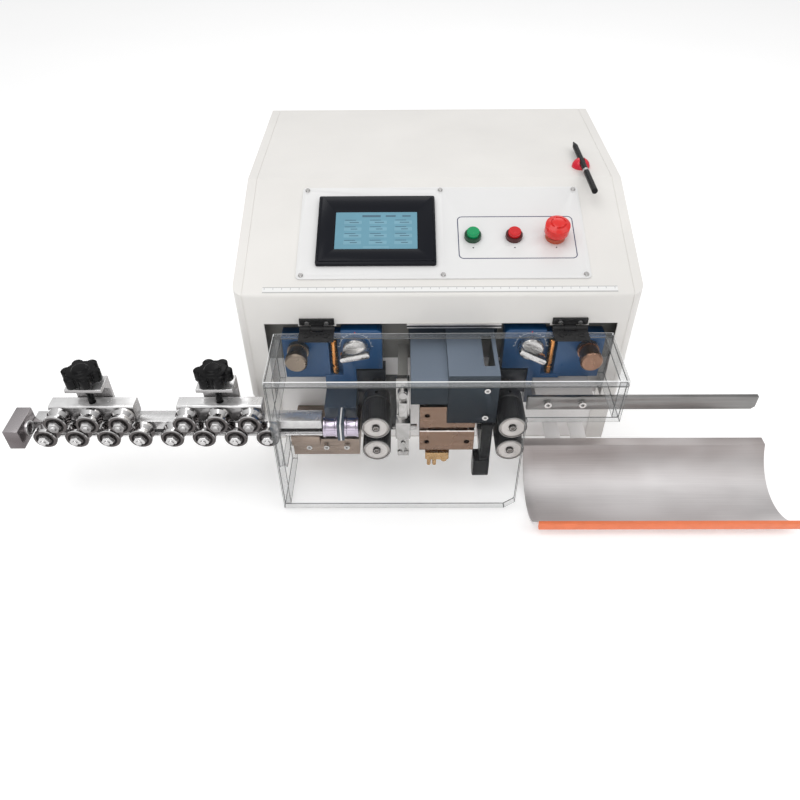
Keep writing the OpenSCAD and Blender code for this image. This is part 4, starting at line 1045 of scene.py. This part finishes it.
def mechanism_finish():
    """Grey plate above, pale paint below, painted shade behind the infeed rollers and grey over
    the bar.
    """
    s = Shader("mechanism_finish")
    upper = s.remap(s.axis("Z"), 0.0, 1.0, *PLATE_SPLIT_Z)
    tone = s.remap(s.noise(18.0, 3.0), 0.0, 1.0)
    grey = s.mix(tone, (0.168, 0.164, 0.152), (0.202, 0.196, 0.181))
    pale = s.mix(tone, (0.93, 0.91, 0.90), (0.97, 0.955, 0.945))
    # Painted shade: near black on the plate behind the infeed rollers.
    shaded = s.math("MULTIPLY", s.within("X", *frame_x(*SHADE_X)), s.within("Z", *SHADE_Z))
    over_bar = s.math("MULTIPLY", s.remap(s.axis("X"), 0.0, 1.0, *frame_x(*OVER_BAR_X)),
                      s.remap(s.axis("Z"), 0.0, 1.0, *OVER_BAR_Z))
    lower = s.mix(shaded, s.mix(over_bar, pale, (0.46, 0.44, 0.43)), (0.026, 0.026, 0.026))
    s.colour(s.mix(upper, lower, grey))
    s.rough(s.remap(s.noise(GLOSS, 4.0), 0.38, 0.50))
    s.bump(s.noise(PEEL), 0.06, 0.0003)
    return s.mat


assign(mechanism_finish(), "mechanism_plate")


HINGE_SCREWS_Z = (0.222, 0.245)


def fastener_finish():
    """Bright screws, black ones at the hinges."""
    s = Shader("fastener_finish")
    hinge = s.within("Z", *HINGE_SCREWS_Z)
    tone = s.remap(s.noise(MOTTLE, 3.0), 0.0, 1.0)
    bright = s.mix(tone, (0.58, 0.57, 0.56), (0.66, 0.65, 0.64))
    s.colour(s.mix(hinge, bright, (0.09, 0.09, 0.09)))
    s.link(s.math("SUBTRACT", 1.0, hinge), s.bsdf.inputs["Metallic"])
    s.rough(s.remap(s.noise(SHEEN, 3.0), 0.21, 0.31))
    s.bump(s.noise(TOOTH, 2.0), 0.02, GRAIN)
    return s.mat


assign(fastener_finish(), "fasteners")


def body_of(node):
    """Name of the body that a CAD node belongs to."""
    for name, nodes in frame["record"]["behaviour"]["bodies"].items():
        if node in nodes:
            return name
    raise KeyError(node)


# Welding distance in millimetres, and angles in degrees, for the softened copies
WELD = 0.002
FLAT, SHARP, SMOOTH = 0.5, 38.0, 30.0


def softened(node, width):
    """Copy of a solid with its sharp edges rounded, in millimetres, which stands for the solid."""
    source = frame["nodes"][node]
    bm = bmesh.new()
    bm.from_mesh(source.data)
    bmesh.ops.remove_doubles(bm, verts=bm.verts[:], dist=WELD * MM)
    bmesh.ops.dissolve_limit(bm, angle_limit=math.radians(FLAT), verts=bm.verts[:],
                             edges=bm.edges[:])
    bevel_all(bm, width * MM, angle=SHARP)
    mesh = finish_mesh(bm, node + "_soft", SMOOTH)
    piece = new_piece(node + "_soft", mesh, list(source.data.materials), body_of(node))
    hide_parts(node)


for node, width in SOFT_EDGES.items():
    softened(node, width)

# Floor, light and camera
FLOOR_HALF = 6.0
FLOOR_DROP = 0.0004
DOME_TOP = 0.9
DOME_STRENGTH = (0.36, 0.76)
PALE = (1.0, 1.0, 1.0, 1.0)
floor_mat = Shader("floor_white", 0.75)
floor_mat.colour(floor_mat.mix(floor_mat.noise(3.0, 2.0), (0.86, 0.86, 0.86), (0.89, 0.89, 0.89)))
floor_mat.set(Emission_Color=PALE, Emission_Strength=0.30)
bm = bmesh.new()
bmesh.ops.create_grid(bm, x_segments=1, y_segments=1, size=FLOOR_HALF)
floor_mesh = bpy.data.meshes.new("floor")
bm.to_mesh(floor_mesh)
bm.free()
floor_mesh.materials.append(floor_mat.mat)
floor = bpy.data.objects.new("floor", floor_mesh)
floor.location = (0.0, 0.0, -FLOOR_DROP)
bpy.context.scene.collection.objects.link(floor)

world = bpy.data.worlds.new("studio")
bpy.context.scene.world = world
world.use_nodes = True
sky = world.node_tree.nodes
sky_link = world.node_tree.links.new
height = sky.new("ShaderNodeSeparateXYZ")
dome = sky.new("ShaderNodeMapRange")
dome.inputs["From Min"].default_value = 0.0
dome.inputs["From Max"].default_value = DOME_TOP
dome.inputs["To Min"].default_value = DOME_STRENGTH[0]
dome.inputs["To Max"].default_value = DOME_STRENGTH[1]
sky_link(sky.new("ShaderNodeTexCoord").outputs["Generated"], height.inputs["Vector"])
sky_link(height.outputs["Z"], dome.inputs["Value"])
sky_link(dome.outputs["Result"], sky["Background"].inputs["Strength"])
sky["Background"].inputs["Color"].default_value = PALE
bpy.context.scene.view_settings.view_transform = "Standard"


def area_light(name, place, target, size, power):
    """Soft box at place, in metres, that faces target."""
    data = bpy.data.lights.new(name, "AREA")
    data.shape = "RECTANGLE"
    data.size = size[0]
    data.size_y = size[1]
    data.energy = power
    obj = bpy.data.objects.new(name, data)
    obj.location = place
    obj.rotation_euler = (Vector(target) - Vector(place)).to_track_quat("-Z", "Y").to_euler()
    bpy.context.scene.collection.objects.link(obj)


area_light("key", (-0.5, -0.5, 1.9), (0.0, 0.0, 0.15), (1.6, 1.2), 10.5)
area_light("fill", (1.2, -0.6, 1.5), (0.0, 0.0, 0.15), (1.2, 1.2), 4.0)
area_light("front", (0.0, -1.6, 0.45), (0.0, 0.0, 0.12), (1.4, 0.5), 2.0)
area_light("rim", (0.2, 1.5, 1.6), (0.0, 0.1, 0.2), (1.8, 0.8), 5.0)

# Camera at the photograph's angle, found from the corners of the housing
CAMERA_AT = (-37.4, -683.7, 721.1)
PITCH = math.radians(42.05)
YAW = math.radians(-0.55)
ROLL = math.radians(0.56)
FOCAL_PX = 716.3
FRAME_PX = 800.0
SENSOR = 36.0


def camera_matrix():
    """Looks along the fitted direction, with the small roll of the photograph."""
    level = math.cos(PITCH)
    ahead = Vector((math.sin(YAW) * level, math.cos(YAW) * level, -math.sin(PITCH)))
    right = Vector((math.cos(YAW), -math.sin(YAW), 0.0))
    down = ahead.cross(right)
    rolled_right = math.cos(ROLL) * right + math.sin(ROLL) * down
    rolled_down = -math.sin(ROLL) * right + math.cos(ROLL) * down
    turn = Matrix((rolled_right, -rolled_down, -ahead)).transposed()
    return Matrix.Translation(mm(*CAMERA_AT)) @ turn.to_4x4()


camera_data = bpy.data.cameras.new("camera")
camera_data.sensor_width = SENSOR
camera_data.lens = FOCAL_PX / FRAME_PX * SENSOR
camera = bpy.data.objects.new("camera", camera_data)
camera.matrix_world = camera_matrix()
bpy.context.scene.collection.objects.link(camera)
bpy.context.scene.camera = camera
